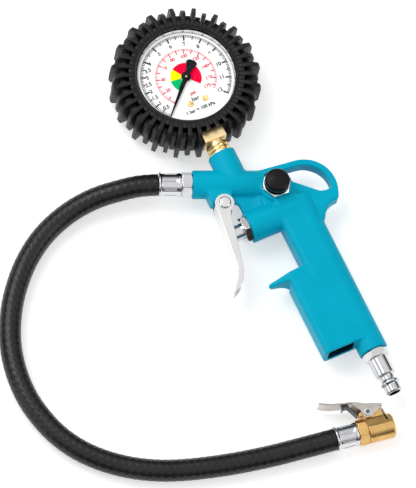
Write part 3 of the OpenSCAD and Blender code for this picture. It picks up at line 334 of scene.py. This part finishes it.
# ---- Gun body ----
# One pressure die casting of aluminium alloy with soft blends where the bosses meet, shot-blasted
# and powder-coated in satin cyan. Bores and faces are machined after coating.
gun_finish, tree, base = shader("gun_paint", rgb(0, 180, 213), 0.36, Specular_IOR_Level=0.07)
skin = place(tree)
tint(tree, base, noise(tree, skin, 45, 3), rgb(0, 176, 209), rgb(0, 184, 217))
tree.links.new(spread(tree, noise(tree, skin, 500, 3), 0.3, 0.42), base.inputs["Roughness"])
relief(tree, base, noise(tree, skin, 1300, 2), 0.06 * MM)


def as_made(piece):
    """The mesh of a piece as its modifiers or its letters make it."""
    bpy.context.view_layer.update()
    graph = bpy.context.evaluated_depsgraph_get()
    return bpy.data.meshes.new_from_object(piece.evaluated_get(graph))


def softened(name, node, voxel, rounds, material, keep=None):
    """A copy of a CAD node with its edges and inner corners rounded, like a casting or moulding.

    keep gives for each point how much of the rounding it takes, from 0 to 1."""
    piece = into_scene(name, nodes[node].data.copy())
    remesh = piece.modifiers.new("remesh", "REMESH")
    remesh.mode = "VOXEL"
    remesh.voxel_size = voxel
    made = as_made(piece)
    piece.modifiers.clear()
    piece.data = made
    count = len(made.vertices)
    at = np.empty(count * 3)
    made.vertices.foreach_get("co", at)
    at = at.reshape(-1, 3)
    pairs = np.empty(len(made.edges) * 2, int)
    made.edges.foreach_get("vertices", pairs)
    one, other = pairs.reshape(-1, 2).T
    near = np.bincount(one, minlength=count) + np.bincount(other, minlength=count)
    share = 0.5 if keep is None else 0.5 * keep(at)[:, None]
    for _ in range(rounds):
        mean = np.stack([
            np.bincount(one, at[other, k], count) + np.bincount(other, at[one, k], count)
            for k in range(3)
        ], axis=1) / near[:, None]
        at = at + share * (mean - at)
    made.vertices.foreach_set("co", at.ravel())
    made.update()
    made.materials.clear()
    made.materials.append(material)
    made.polygons.foreach_set("use_smooth", [True] * len(made.polygons))
    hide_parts(node)
    return piece


# The handle and the gauge's axis lean by tilt; barrel and gauge axes cross at cross
tilt = math.radians(23.5)
along = np.array([math.sin(tilt), -math.cos(tilt), 0])
backward = np.array([math.cos(tilt), math.sin(tilt), 0])
cross = along * 71 * MM + np.array([0, 0, 14 * MM])
# Start, direction and distance of each machined face
machined = [
    (cross, np.array([-1.0, 0, 0]), 26.3 * MM),  # barrel's mouth, for the hose nipple
    (cross, -along, 21 * MM),  # boss for the gauge's connection
    (cross + 28.75 * MM * backward, along, 127 * MM),  # boss for the inlet plug
    (cross + 27.8 * MM * along, -backward, 5.4 * MM),  # boss for the valve's gland nut
]
rim_depth = 1.2 * MM
rim_reach = 11 * MM
rim_share = 0.12


def off_machined(at):
    """How much rounding each point takes: little at the rims of the machined faces."""
    hold = np.ones(len(at))
    for start, way, run in machined:
        ahead = (at - start) @ way
        sideways = np.linalg.norm((at - start) - np.outer(ahead, way), axis=1)
        hold[(np.abs(ahead - run) < rim_depth) & (sideways < rim_reach)] = rim_share
    return hold


gun = softened("gun_casting", "gun_body", 0.45 * MM, 12, gun_finish, off_machined)
# Painted shade: the faces in the hollow of the handle's end get a dark cyan, for the shade in it
hollow_start, hollow_end = 73 * MM, 118.4 * MM
hollow_middle, hollow_half_width = 11.35 * MM, 8.8 * MM
hollow_half_depth = 6.4 * MM
hollow_painted_shade, tree, base = shader("gun_hollow_painted_shade", rgb(0, 46, 62), 0.6, Specular_IOR_Level=0.1)
tint(tree, base, noise(tree, place(tree), 200, 3), rgb(0, 40, 54), rgb(0, 54, 72))
gun.data.materials.append(hollow_painted_shade)
middle = np.empty(len(gun.data.polygons) * 3)
gun.data.polygons.foreach_get("center", middle)
middle = middle.reshape(-1, 3) - cross
in_shaded_hollow = (middle @ along > hollow_start) & (middle @ along < hollow_end)
in_shaded_hollow &= np.abs(middle @ backward - hollow_middle) < hollow_half_width
in_shaded_hollow &= np.abs(middle[:, 2]) < hollow_half_depth
gun.data.polygons.foreach_set("material_index", in_shaded_hollow.astype(int))
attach(gun, "gun")

# ---- Hose fittings, inlet plug, gland and bleed nut ----
# Turned and milled from steel bar and nickel-plated bright. Nipple, plug and nuts screw into the
# casting's threads; the ferrules are pressed down on the hose in a die that leaves long narrow
# marks.
bright, tree, base = shader("plated_steel", (0.64, 0.65, 0.67), 0.08, metallic=1.0)
skin = place(tree)
tree.links.new(spread(tree, noise(tree, skin, 350, 4), 0.04, 0.11), base.inputs["Roughness"])
tint(tree, base, noise(tree, skin, 60, 2), (0.59, 0.6, 0.63), (0.68, 0.68, 0.69))


def finish_node(name, material):
    """Gives a CAD node its finish."""
    slots = nodes[name].data.materials
    slots.clear()
    slots.append(material)


# Grain and rounds of smoothing that take the sharpness off a turned or milled edge
fine, light_rounds = 0.2 * MM, 2
for name in ("hose_nipple", "hose_ferrule_gun", "hose_ferrule_chuck", "inlet_plug", "valve_gland",
             "bleed_nut"):
    piece = softened(name + "_turned", name, fine, light_rounds, bright)
    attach(piece, "gun")
piece = softened("valve_plunger_turned", "valve_plunger", fine, light_rounds, bright)
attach(piece, "plunger")

# ---- Trigger ----
# Folded from steel sheet round a channel and plated. It swings on a headed pin through the lug of
# the casting, kept by a ring of dark spring steel on the far side.
plate, tree, base = shader("trigger_metal", (0.74, 0.74, 0.73), 0.2, metallic=1.0)
skin = place(tree)
tint(tree, base, noise(tree, skin, 60, 2), (0.72, 0.72, 0.71), (0.77, 0.77, 0.76))
tree.links.new(spread(tree, noise(tree, skin, 600, 3), 0.16, 0.24), base.inputs["Roughness"])
folded = softened("trigger_folded", "trigger", fine, light_rounds, plate)
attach(folded, "trigger")
pin = softened("trigger_pin_headed", "trigger_pin", fine, light_rounds, plate)
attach(pin, "gun")
dark_steel, tree, base = shader("pin_steel", (0.2, 0.2, 0.21), 0.35, metallic=1.0)
tint(tree, base, noise(tree, place(tree), 300, 3), (0.12, 0.12, 0.13), (0.26, 0.26, 0.27))
finish_node("trigger_pin_ring", dark_steel)

# ---- Springs and small steel ----
# Two springs coiled from bright wire stand behind the valve's poppet and under the bleed button.
# The chuck's clip and its pin and the movement's screws are of bright steel too; the leaf spring
# under the chuck's lever is of blued strip.
wire, tree, base = shader("spring_steel", (0.6, 0.6, 0.62), 0.25, metallic=1.0)
tint(tree, base, noise(tree, place(tree), 500, 3), (0.5, 0.5, 0.52), (0.7, 0.7, 0.72))
for name in ("chuck_clip", "chuck_clip_pin", "movement_screws"):
    finish_node(name, wire)
# Each coil is a copy of its CAD node in spring steel; its joint, axis, seat, free length and stroke
# in mm are listed but not used
for name, joint, axis, seat, free, stroke in (
        ("valve_spring", "plunger_slide", (0.91706, 0.398749, 0), (0.061039, -0.081195, 0.014),
         13.15, 3.77),
        ("bleed_spring", "bleed_slide", (0, 0, 1), (0.0511, -0.068, 0.0249), 3.2, 1.8)):
    coil = into_scene(name + "_coiled", nodes[name].data.copy())
    coil.data.materials.clear()
    coil.data.materials.append(wire)
    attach(coil, "gun")
    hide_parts(name)
    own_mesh(coil)
leaf, tree, base = shader("spring_blue", (0.05, 0.05, 0.055), 0.35, metallic=0.7)
tint(tree, base, noise(tree, place(tree), 500, 3), (0.03, 0.03, 0.035), (0.08, 0.08, 0.09))
finish_node("chuck_spring", leaf)

# ---- Seals ----
# Small rings and discs moulded from black nitrile rubber. They are pressed into their grooves and
# seats in the gland, the valves and the chuck's mouth.
seal, tree, base = shader("seal_rubber", rgb(28, 28, 29), 0.5)
relief(tree, base, noise(tree, place(tree), 1500, 2), 0.03 * MM)
tint(tree, base, noise(tree, place(tree), 400, 2), rgb(20, 20, 21), rgb(36, 36, 38))
for name in ("gland_oring", "poppet_seal", "bleed_seal", "chuck_seal"):
    finish_node(name, seal)

# ---- Brass parts ----
# The gauge's connection is milled from bright brass bar, and valve parts and movement are made of
# the same; the chuck is a darker forged brass, milled on its faces.
gold, tree, base = shader("stem_brass", (0.95, 0.74, 0.42), 0.26, metallic=1.0)
skin = place(tree)
tint(tree, base, noise(tree, skin, 120, 2), (0.93, 0.7, 0.37), (0.97, 0.77, 0.47))
tree.links.new(spread(tree, noise(tree, skin, 300, 2), 0.28, 0.34), base.inputs["Roughness"])
stem = softened("gauge_stem_milled", "gauge_stem", fine, light_rounds, gold)
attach(stem, "gun")
# Painted shade: the thread is a darker, deeper brass than the stem, for the shade in its grooves
thread_gold_painted_shade, tree, base = shader("thread_brass_painted_shade", (0.86, 0.55, 0.14), 0.22, metallic=1.0)
tint(tree, base, noise(tree, place(tree), 200, 2), (0.8, 0.49, 0.1), (0.92, 0.61, 0.18))


def thread_ridge(name, start, way, radius, crest, pitch, turns, material):
    """The ridge of a screw thread about way, run out to nothing over a quarter turn at each end."""
    per_turn = 48
    steps = int(turns * per_turn)
    root = radius - 0.1 * MM
    root_half, crest_half = 0.42, 0.08  # in pitches
    axis = Vector(way).normalized()
    side = axis.orthogonal().normalized()
    third = axis.cross(side)
    verts = []
    for i in range(steps + 1):
        turn = 2 * math.pi * i / per_turn
        out = side * math.cos(turn) + third * math.sin(turn)
        fade = min(1.0, i / (per_turn / 4), (steps - i) / (per_turn / 4))
        top = radius + (crest - radius) * fade
        for reach, shift in ((root, -root_half), (top, -crest_half),
                             (top, crest_half), (root, root_half)):
            verts.append(Vector(start) + out * reach + axis * (pitch * (i / per_turn + shift)))
    faces = [(i * 4 + a, i * 4 + b, i * 4 + 4 + b, i * 4 + 4 + a)
             for i in range(steps) for a, b in ((0, 1), (1, 2), (2, 3), (3, 0))]
    faces += [(3, 2, 1, 0), tuple(steps * 4 + k for k in range(4))]
    ridge = new_piece(name, verts, faces, material)
    ridge.data.set_sharp_from_angle(angle=math.radians(50))
    return ridge


thread_start = along * 44.2 * MM + np.array([0, 0, 14 * MM])
thread = thread_ridge("gauge_stem_thread", thread_start, along, radius=6.4 * MM, crest=7.05 * MM,
                      pitch=2.2 * MM, turns=2.6, material=thread_gold_painted_shade)
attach(thread, "gun")
inner, tree, base = shader("inner_brass", (0.75, 0.56, 0.27), 0.3, metallic=1.0)
tint(tree, base, noise(tree, place(tree), 300, 3), (0.68, 0.5, 0.23), (0.82, 0.64, 0.33))
for name in ("valve_seat", "valve_poppet", "bleed_stem", "chuck_depressor", "bourdon_tube",
             "tube_tip", "movement_base", "movement_bridge", "movement_pillar", "sector_gear",
             "pinion_arbor", "sector_link", "hairspring"):
    finish_node(name, inner)
forged, tree, base = shader("chuck_brass", (0.85, 0.56, 0.22), 0.28, metallic=1.0)
skin = place(tree)
tint(tree, base, noise(tree, skin, 160, 3), (0.62, 0.38, 0.13), (0.8, 0.51, 0.2))
tree.links.new(spread(tree, noise(tree, skin, 300, 2), 0.26, 0.34), base.inputs["Roughness"])
chuck_turn = math.radians(14.5)
chuck_at = np.array([81, -222.3, 7.8]) * MM
chuck_way = np.array([math.cos(chuck_turn), math.sin(chuck_turn), 0])
chuck_up = np.array([-math.sin(chuck_turn), math.cos(chuck_turn), 0])


def mill(piece, edge, crown, slope, least):
    """Mills the side towards the lever to a plane.

    It falls by slope from crown at edge, and not below least."""
    for v in piece.data.vertices:
        aside = float((np.array(v.co) - chuck_at) @ chuck_up)
        if aside > edge:
            v.co.z = min(v.co.z, chuck_at[2] + max(least, crown - slope * (aside - edge)))


for name in ("chuck_connector", "chuck_body"):
    piece = softened(name + "_milled", name, 0.22 * MM, light_rounds, forged)
    if name == "chuck_body":
        mill(piece, edge=0.3 * MM, crown=7.3 * MM, slope=0.4, least=4.2 * MM)
    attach(piece, "gun")

# ---- Chuck lever ----
# Pressed from steel sheet and nickel-plated. It turns on a rivet through the chuck's tower, with
# the leaf spring under it.
nickel, tree, base = shader("lever_steel", (0.54, 0.5, 0.46), 0.2, metallic=1.0)
skin = place(tree)
tint(tree, base, noise(tree, skin, 110, 3), (0.49, 0.45, 0.41), (0.6, 0.56, 0.52))
tree.links.new(spread(tree, noise(tree, skin, 500, 3), 0.15, 0.24), base.inputs["Roughness"])
lever = softened("chuck_lever_pressed", "chuck_lever", 0.18 * MM, 3, nickel)
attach(lever, "chuck_lever")

# ---- Bleed button ----
# Moulded black plastic cap with a shallow flat on its crown. It is pressed on the bleed valve's
# stem and hides the spring that lifts it.
cap, tree, base = shader("button_plastic", rgb(12, 11, 11), 0.26, Specular_IOR_Level=0.2)
tint(tree, base, noise(tree, place(tree), 300, 2), rgb(9, 8, 8), rgb(15, 14, 14))
relief(tree, base, noise(tree, place(tree), 1500, 2), 0.02 * MM)
finish_node("bleed_button", cap)

# ---- Rubber boot ----
# One moulding of black rubber, stretched over the gauge. Forty fins run from its lip over the
# front and down the wall, every second one shorter; low blocks stand between them on both sides of
# a groove.
boot_finish, tree, base = shader("boot_rubber", rgb(24, 24, 26), 0.42, Specular_IOR_Level=0.24)
skin = place(tree)
# Painted light and shade: the outer and upper parts are painted paler, as if lit, and the wall
# and the groove between the fins black, as if in shade; random patches break it up
parts = tree.nodes.new("ShaderNodeSeparateXYZ")
tree.links.new(skin, parts.inputs["Vector"])
flat = tree.nodes.new("ShaderNodeCombineXYZ")
tree.links.new(parts.outputs["X"], flat.inputs["X"])
tree.links.new(parts.outputs["Y"], flat.inputs["Y"])
reach = tree.nodes.new("ShaderNodeVectorMath")
reach.operation = "LENGTH"
tree.links.new(flat.outputs["Vector"], reach.inputs[0])
outward = spread(tree, reach.outputs["Value"], 0, 1, 36.8 * MM, 39.2 * MM)
upward = spread(tree, parts.outputs["Z"], 0, 1, 26.8 * MM, 27.6 * MM)
painted_light = reckoned(tree, "MAXIMUM", outward, upward)
patchy = spread(tree, noise(tree, skin, 120, 3), 0.55, 1)
painted_light_in_patches = reckoned(tree, "MULTIPLY", painted_light, patchy)
tint(tree, base, painted_light_in_patches, rgb(5, 5, 6), rgb(33, 33, 36), 0.0, 1.0)
tree.links.new(spread(tree, noise(tree, skin, 400, 3), 0.36, 0.5), base.inputs["Roughness"])
relief(tree, base, noise(tree, skin, 1500, 2), 0.04 * MM)

# Radius and height, in millimetres, from the middle of the back round the wall and the groove to
# the lip
shell_outline = [
    (0, 0), (35.2, 0), (36.3, 1.4), (36.6, 24.0), (36.2, 24.6), (35.9, 24.4), (35.7, 21.8),
    (34.5, 21.6), (34.3, 26.0), (33.9, 26.5), (31.5, 26.6), (31.2, 27.9), (30.8, 28.2),
    (29.8, 28.2), (29.5, 27.9), (29.5, 27), (31.55, 27), (31.55, 4), (0, 4),
]
fin_outline = [
    (31.3, 27.9), (39.2, 27.9), (44.0, 24.4), (45, 21.2), (45, 5.6), (43.7, 3.0), (36.2, 0.9),
    (33.4, 0.9), (33.4, 26.0), (31.3, 26.0),
]
front_block = [(31.3, 27.9), (34.5, 27.9), (34.5, 25.6), (31.3, 25.6)]
wall_block = [(35.6, 24.4), (39.0, 23.8), (39.3, 3.0), (35.6, 2.0)]
front_half, wall_half = 1.38, 1.5
fins = 40
short_by, short_from = 1.8, 40
round_off = 0.18 * MM


def turned(name, outline, sides, material):
    """A closed turned shape about the upright axis; its outline starts and ends on that axis."""
    verts, rows = [], []
    for r, z in outline:
        row = [(r * MM * math.cos(a), r * MM * math.sin(a), z * MM) for a in circle(sides)]
        on_axis = r == 0
        count = len(verts)
        rows.append([count] * sides if on_axis else list(range(count, count + sides)))
        verts += row[:1] if on_axis else row
    faces = [tuple(dict.fromkeys((low[i], low[(i + 1) % sides], high[(i + 1) % sides], high[i])))
             for low, high in zip(rows, rows[1:]) for i in range(sides)]
    return new_piece(name, verts, faces, material)


def half_width(r):
    """Half of a fin's width: narrow at the lip, widest over the wall, a little less at the tip."""
    return float(np.interp(r, (31.3, 38, 45), (0.95, 1.4, 1.25)))


def stand(solid, outline, turn, half):
    """Adds one upright block, with its outline in radius and height, round the gauge's axis."""
    c, d = math.cos(turn), math.sin(turn)
    sides = []
    for way in (-1, 1):
        sides.append([
            solid.verts.new(((r * c - way * half(r) * d) * MM, (r * d + way * half(r) * c) * MM,
                             z * MM))
            for r, z in outline])
    solid.faces.new(sides[0])
    solid.faces.new(sides[1][::-1])
    for i in range(len(outline)):
        j = (i + 1) % len(outline)
        solid.faces.new((sides[0][j], sides[0][i], sides[1][i], sides[1][j]))


def combine(piece, other, how):
    """Joins the other shape to the piece or cuts it away, and takes it out of the scene."""
    step = piece.modifiers.new("combine", "BOOLEAN")
    step.operation = how
    step.solver = "MANIFOLD"
    step.object = other
    made = as_made(piece)
    piece.modifiers.clear()
    piece.data = made
    bpy.data.objects.remove(other)


def box(low, high, turn):
    """A plain cutter between two corners, in millimetres, turned about the upright axis."""
    c, d = math.cos(turn), math.sin(turn)
    verts = [((x * c - y * d) * MM, (x * d + y * c) * MM, z * MM)
             for z in (low[2], high[2]) for y in (low[1], high[1]) for x in (low[0], high[0])]
    faces = [(0, 2, 3, 1), (4, 5, 7, 6), (0, 1, 5, 4), (2, 6, 7, 3), (0, 4, 6, 2), (1, 3, 7, 5)]
    return new_piece("cutter", verts, faces, boot_finish, smooth=False)


boot = turned("boot_moulding", shell_outline, 160, boot_finish)
ribs = bmesh.new()
for i in range(fins):
    short = short_by * (i % 2)
    outline = [(r - short if r > short_from else r, z) for r, z in fin_outline]
    stand(ribs, outline, tilt + (i + 0.5) * 2 * math.pi / fins, half_width)
    turn = tilt + i * 2 * math.pi / fins
    stand(ribs, front_block, turn, lambda r: front_half)
    stand(ribs, wall_block, turn, lambda r: wall_half)
bmesh.ops.recalc_face_normals(ribs, faces=ribs.faces)
bmesh.ops.bevel(ribs, geom=list(ribs.edges), offset=round_off, segments=2, profile=0.5,
                affect="EDGES", clamp_overlap=True)
rib_mesh = bpy.data.meshes.new("ribs")
ribs.to_mesh(rib_mesh)
ribs.free()
combine(boot, into_scene("ribs", rib_mesh), "UNION")
# Window in the wall for the gauge's connection, and the fins left out on both sides of it
window = box((-7.3, -46, 6.7), (7.3, -27.5, 21.3), tilt)
combine(boot, window, "DIFFERENCE")
clearing = box((-9.5, -46, -1), (9.5, -36.4, 29), tilt)
combine(boot, clearing, "DIFFERENCE")
boot.data.polygons.foreach_set("use_smooth", [True] * len(boot.data.polygons))
boot.data.set_sharp_from_angle(angle=math.radians(38))
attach(boot, "gun")
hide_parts("gauge_boot")

# ---- Clip slot and chuck rivet ----
# The chuck's near cheek is sawn through for the clip's blade, which leaves a slanting slot whose
# walls and floor are painted black as shade. The lever turns on a steel rivet, whose drilled end is
# spread over the lever's cheek and leaves a dish, painted dark as shade.


def two_tone(piece, outer, inner, is_inner):
    """Gives a piece two materials, with the inner one on the faces that is_inner picks."""
    piece.data.materials.clear()
    piece.data.materials.append(outer)
    piece.data.materials.append(inner)
    for face in piece.data.polygons:
        face.material_index = int(is_inner(face))


chuck = bpy.data.objects["chuck_body_milled"]
slot_lean = chuck_turn + 0.142
slot_at = Vector((chuck_at + (31.2 * chuck_way + 7 * chuck_up) * MM) * (1, 1, 0))
slot_across = Vector((math.cos(slot_lean), math.sin(slot_lean), 0))
slot_along = slot_across.cross(Vector((0, 0, -1)))
saw = box((-0.55, -5, 9.8), (0.55, 6, 17), slot_lean)
saw.data.transform(Matrix.Translation(slot_at))
combine(chuck, saw, "DIFFERENCE")


def in_slot(face):
    """Whether a face of the chuck is a wall or the floor of the sawn slot."""
    off = face.center - slot_at
    beside = abs(off.dot(slot_across)) < 0.6 * MM and -5.1 * MM < off.dot(slot_along) < 6 * MM
    return beside and face.center.z > 9.7 * MM and face.normal.z < 0.3


# Painted shade: the slot's walls and floor take the black seal rubber
two_tone(chuck, forged, seal, in_slot)
rivet = softened("chuck_rivet_spread", "chuck_rivet", 0.15 * MM, 1, wire)
rivet_at = Vector((0.100111, -0.207132, 0))
dish = turned("dish", [(0, 13.0), (0.8, 13.0), (1.35, 14.5), (0, 14.5)], 32, dark_steel)
dish.data.transform(Matrix.Translation(rivet_at))
combine(rivet, dish, "DIFFERENCE")


def in_dish(face):
    """Whether a face of the rivet is the floor or the sloping wall of its dish."""
    inside = (face.center - rivet_at).xy.length < 1.34 * MM and face.center.z > 12.9 * MM
    return inside and (face.normal.z < 0.98 or face.center.z < 13.2 * MM)


# Painted shade: the dish's floor and wall take the dark pin steel
two_tone(rivet, wire, dark_steel, in_dish)
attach(rivet, "gun")

# ---- Gauge case, bezel and lens ----
# Case drawn from steel sheet and gripped by the boot. A polished ring lies on the rim of the dial
# and carries the clear lens, which the boot's lip keeps in place.
case, tree, base = shader("case_steel", (0.6, 0.6, 0.62), 0.3, metallic=1.0)
tint(tree, base, noise(tree, place(tree), 300, 3), (0.5, 0.5, 0.52), (0.7, 0.7, 0.72))
finish_node("gauge_case", case)
ring, tree, base = shader("bezel_silver", (0.8, 0.8, 0.8), 0.25, metallic=1.0)
tint(tree, base, noise(tree, place(tree), 200, 3), (0.74, 0.74, 0.75), (0.86, 0.86, 0.86))
finish_node("gauge_bezel", ring)
lens, tree, base = shader("lens_clear", (1, 1, 1), 0.02, Transmission_Weight=1.0, IOR=1.08)
tint(tree, base, noise(tree, place(tree), 50, 1), (0.985, 0.99, 0.99), (1, 1, 1))
finish_node("gauge_lens", lens)

# ---- Dial ----
# White-enamelled plate that lies on the posts of the movement. Its scales are printed: black for
# bar, red for psi, and a green, yellow and red band.
enamel, tree, base = shader("dial_white", rgb(251, 251, 249), 0.4)
tint(tree, base, noise(tree, place(tree), 200, 2), rgb(249, 249, 247), rgb(253, 253, 251))
finish_node("dial_plate", enamel)

dial_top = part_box("dial_plate")[1][2]
print_thickness = 0.03 * MM
zero_degrees, degrees_per_bar = 225, 22.5
psi_per_bar = 14.504


def bar_angle(bar):
    """The scale's angle at a pressure in bar."""
    return math.radians(zero_degrees - degrees_per_bar * bar)


def psi_angle(psi):
    """The scale's angle at a pressure in psi."""
    return bar_angle(psi / psi_per_bar)


def polar(r, angle):
    """A point of the dial by its radius in millimetres and its angle."""
    return r * math.cos(angle), r * math.sin(angle)


def sector(inner, outer, start, end):
    """Outer and inner edge of a piece of ring between two angles."""
    n = max(2, int(abs(end - start) / 0.035))
    turns = [start + (end - start) * i / n for i in range(n + 1)]
    return [polar(outer, t) for t in turns], [polar(inner, t) for t in turns]


def tick(outer, length, width, turn):
    """One scale mark, pointing at the centre."""
    c, d = math.cos(turn), math.sin(turn)
    return [(r * c - w * d, r * d + w * c)
            for r, w in ((outer, -width / 2), (outer, width / 2),
                         (outer - length, width / 2), (outer - length, -width / 2))]


def on_dial(points, height):
    """Points of the dial, in millimetres, put in the frame's place at the given height."""
    c, d = math.cos(tilt), math.sin(tilt)
    return [((x * c - y * d) * MM, (x * d + y * c) * MM, height) for x, y in points]


def letters(text, size):
    """The outlines of a line of text as a thin closed mesh."""
    line = bpy.data.curves.new("print", "FONT")
    line.body = text
    line.size = size * MM
    line.extrude = print_thickness / 2
    line.align_x = "CENTER"
    line.align_y = "CENTER"
    line.offset = 0.1 * MM
    carrier = into_scene("print", line)
    made = as_made(carrier)
    bpy.data.objects.remove(carrier)
    bpy.data.curves.remove(line)
    return made


def printed(name, quads, rings, words, finish):
    """One colour of print as a thin closed skin on the dial: marks, ring pieces and words."""
    low, high = dial_top, dial_top + print_thickness
    verts, faces = [], []
    for quad in quads:
        k = len(verts)
        verts += on_dial(quad, low) + on_dial(quad, high)
        faces += [(k + 3, k + 2, k + 1, k), (k + 4, k + 5, k + 6, k + 7)]
        faces += [(k + i, k + (i + 1) % 4, k + 4 + (i + 1) % 4, k + 4 + i) for i in range(4)]
    for outer, inner in rings:
        k, n = len(verts), len(outer)
        for height in (low, high):
            verts += on_dial(outer, height) + on_dial(inner, height)
        for i in range(n - 1):
            a, b = k + i, k + n + i
            faces += [(a, a + 1, b + 1, b), (a + 2 * n, b + 2 * n, b + 2 * n + 1, a + 2 * n + 1)]
            faces += [(a, a + 2 * n, a + 2 * n + 1, a + 1), (b, b + 1, b + 2 * n + 1, b + 2 * n)]
        for i in (0, n - 1):
            a, b = k + i, k + n + i
            faces.append((a, b, b + 2 * n, a + 2 * n) if i == 0 else (b, a, a + 2 * n, b + 2 * n))
    for text, (x, y), size in words:
        mesh = letters(text, size)
        spin = Matrix.Rotation(tilt, 4, "Z") @ Matrix.Translation((x * MM, y * MM, 0))
        k = len(verts)
        for v in mesh.vertices:
            w = spin @ v.co
            verts.append((w.x, w.y, low + print_thickness / 2 + v.co.z))
        faces += [tuple(k + i for i in p.vertices) for p in mesh.polygons]
        bpy.data.meshes.remove(mesh)
    piece = new_piece(name, verts, faces, finish, smooth=False)
    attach(piece, "gun")


def ink(name, colour):
    """A printing ink, nearly even in tone."""
    material, tree, base = shader(name, colour, 0.5, Specular_IOR_Level=0.02)
    pale = tuple(min(1.0, c * 1.08 + 0.002) for c in colour)
    tint(tree, base, noise(tree, place(tree), 900, 2), colour, pale)
    return material


bar_rim, psi_rim, psi_text = 27.0, 18.2, 13.6
marks = []
for tenths in range(121):
    if tenths % 10 == 0:
        length, width = 3.4, 0.9
    elif tenths % 5 == 0:
        length, width = 2.2, 0.7
    else:
        length, width = 1.5, 0.42
    marks.append(tick(bar_rim, length, width, bar_angle(tenths / 10)))
labels = [(f"{bar:g}", polar(22.9 if bar <= 4 else 21.4, bar_angle(bar)), 3.3)
          for bar in (0.5, 1, 1.5, 2, 2.5, 3, 3.5, 4, 5, 6, 7, 8, 9, 10, 11, 12)]
labels += [("bar", (-0.6, -14.3), 3.6), ("1 bar = 100 kPa", (-0.5, -21.2), 2.9)]
printed("dial_print_black", marks, [sector(26.9, 27.1, bar_angle(0), bar_angle(12))], labels,
        ink("ink_black", rgb(6, 6, 9)))
marks = []
for psi in range(0, 176, 2):
    length, width = (2.8, 0.7) if psi % 10 == 0 else (1.3, 0.36)
    marks.append(tick(psi_rim, length, width, psi_angle(psi)))
labels = [(str(psi), polar(psi_text, psi_angle(psi)), 2.9)
          for psi in (20, 40, 60, 80, 100, 120, 140, 160, 175)]
labels.append(("psi", (-0.4, -10.4), 3.2))
printed("dial_print_red", marks, [sector(18.1, 18.3, psi_angle(0), psi_angle(175))], labels,
        ink("ink_red", rgb(206, 24, 62)))
band_inner, band_outer = 3.0, 9.4
for name, colour, start, end in (
        ("green", rgb(0, 186, 104), 225, 171.5), ("yellow", rgb(255, 240, 0), 171.5, 124),
        ("red", rgb(238, 0, 56), 124, -48.5)):
    band = sector(band_inner, band_outer, math.radians(start), math.radians(end))
    printed("dial_band_" + name, [], [band], [], ink("ink_" + name, colour))

# ---- Dial screws ----
# Two slotted cheese-head screws of bright brass. They go through the dial into the movement's
# posts, and their slots stand as they came to rest.
screw_gold, tree, base = shader("screw_brass", (0.88, 0.6, 0.24), 0.2, metallic=1.0)
tint(tree, base, noise(tree, place(tree), 400, 2), (0.82, 0.54, 0.2), (0.93, 0.67, 0.3))
screw_x, screw_y = 4.8, -16.5
low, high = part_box("dial_screws")
foot, head = low[2] / MM, high[2] / MM
screw_outline = [
    (0, foot), (1, foot), (1, head - 0.8), (1.9, head - 0.8), (1.9, head - 0.25), (1.6, head),
    (0, head),
]
screws = None
for x, slot_turn in ((-screw_x, 0.7), (screw_x, 1.9)):
    screw = turned("dial_screws_slotted", screw_outline, 40, screw_gold)
    slot = box((-3, -0.3, head - 0.45), (3, 0.3, head + 1), slot_turn)
    combine(screw, slot, "DIFFERENCE")
    screw.data.transform(Matrix.Translation(on_dial([(x, screw_y)], 0)[0]))
    if screws:
        combine(screws, screw, "UNION")
    else:
        screws = screw
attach(screws, "gun")
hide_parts("dial_screws")

# ---- Pointer ----
# Stamped from thin sheet and painted black. Its hub is pressed on the arbor that the toothed
# sector turns.
black, tree, base = shader("pointer_black", rgb(7, 15, 21), 0.35, Specular_IOR_Level=0.12)
tint(tree, base, noise(tree, place(tree), 400, 2), rgb(5, 12, 17), rgb(10, 19, 26))
finish_node("pointer", black)
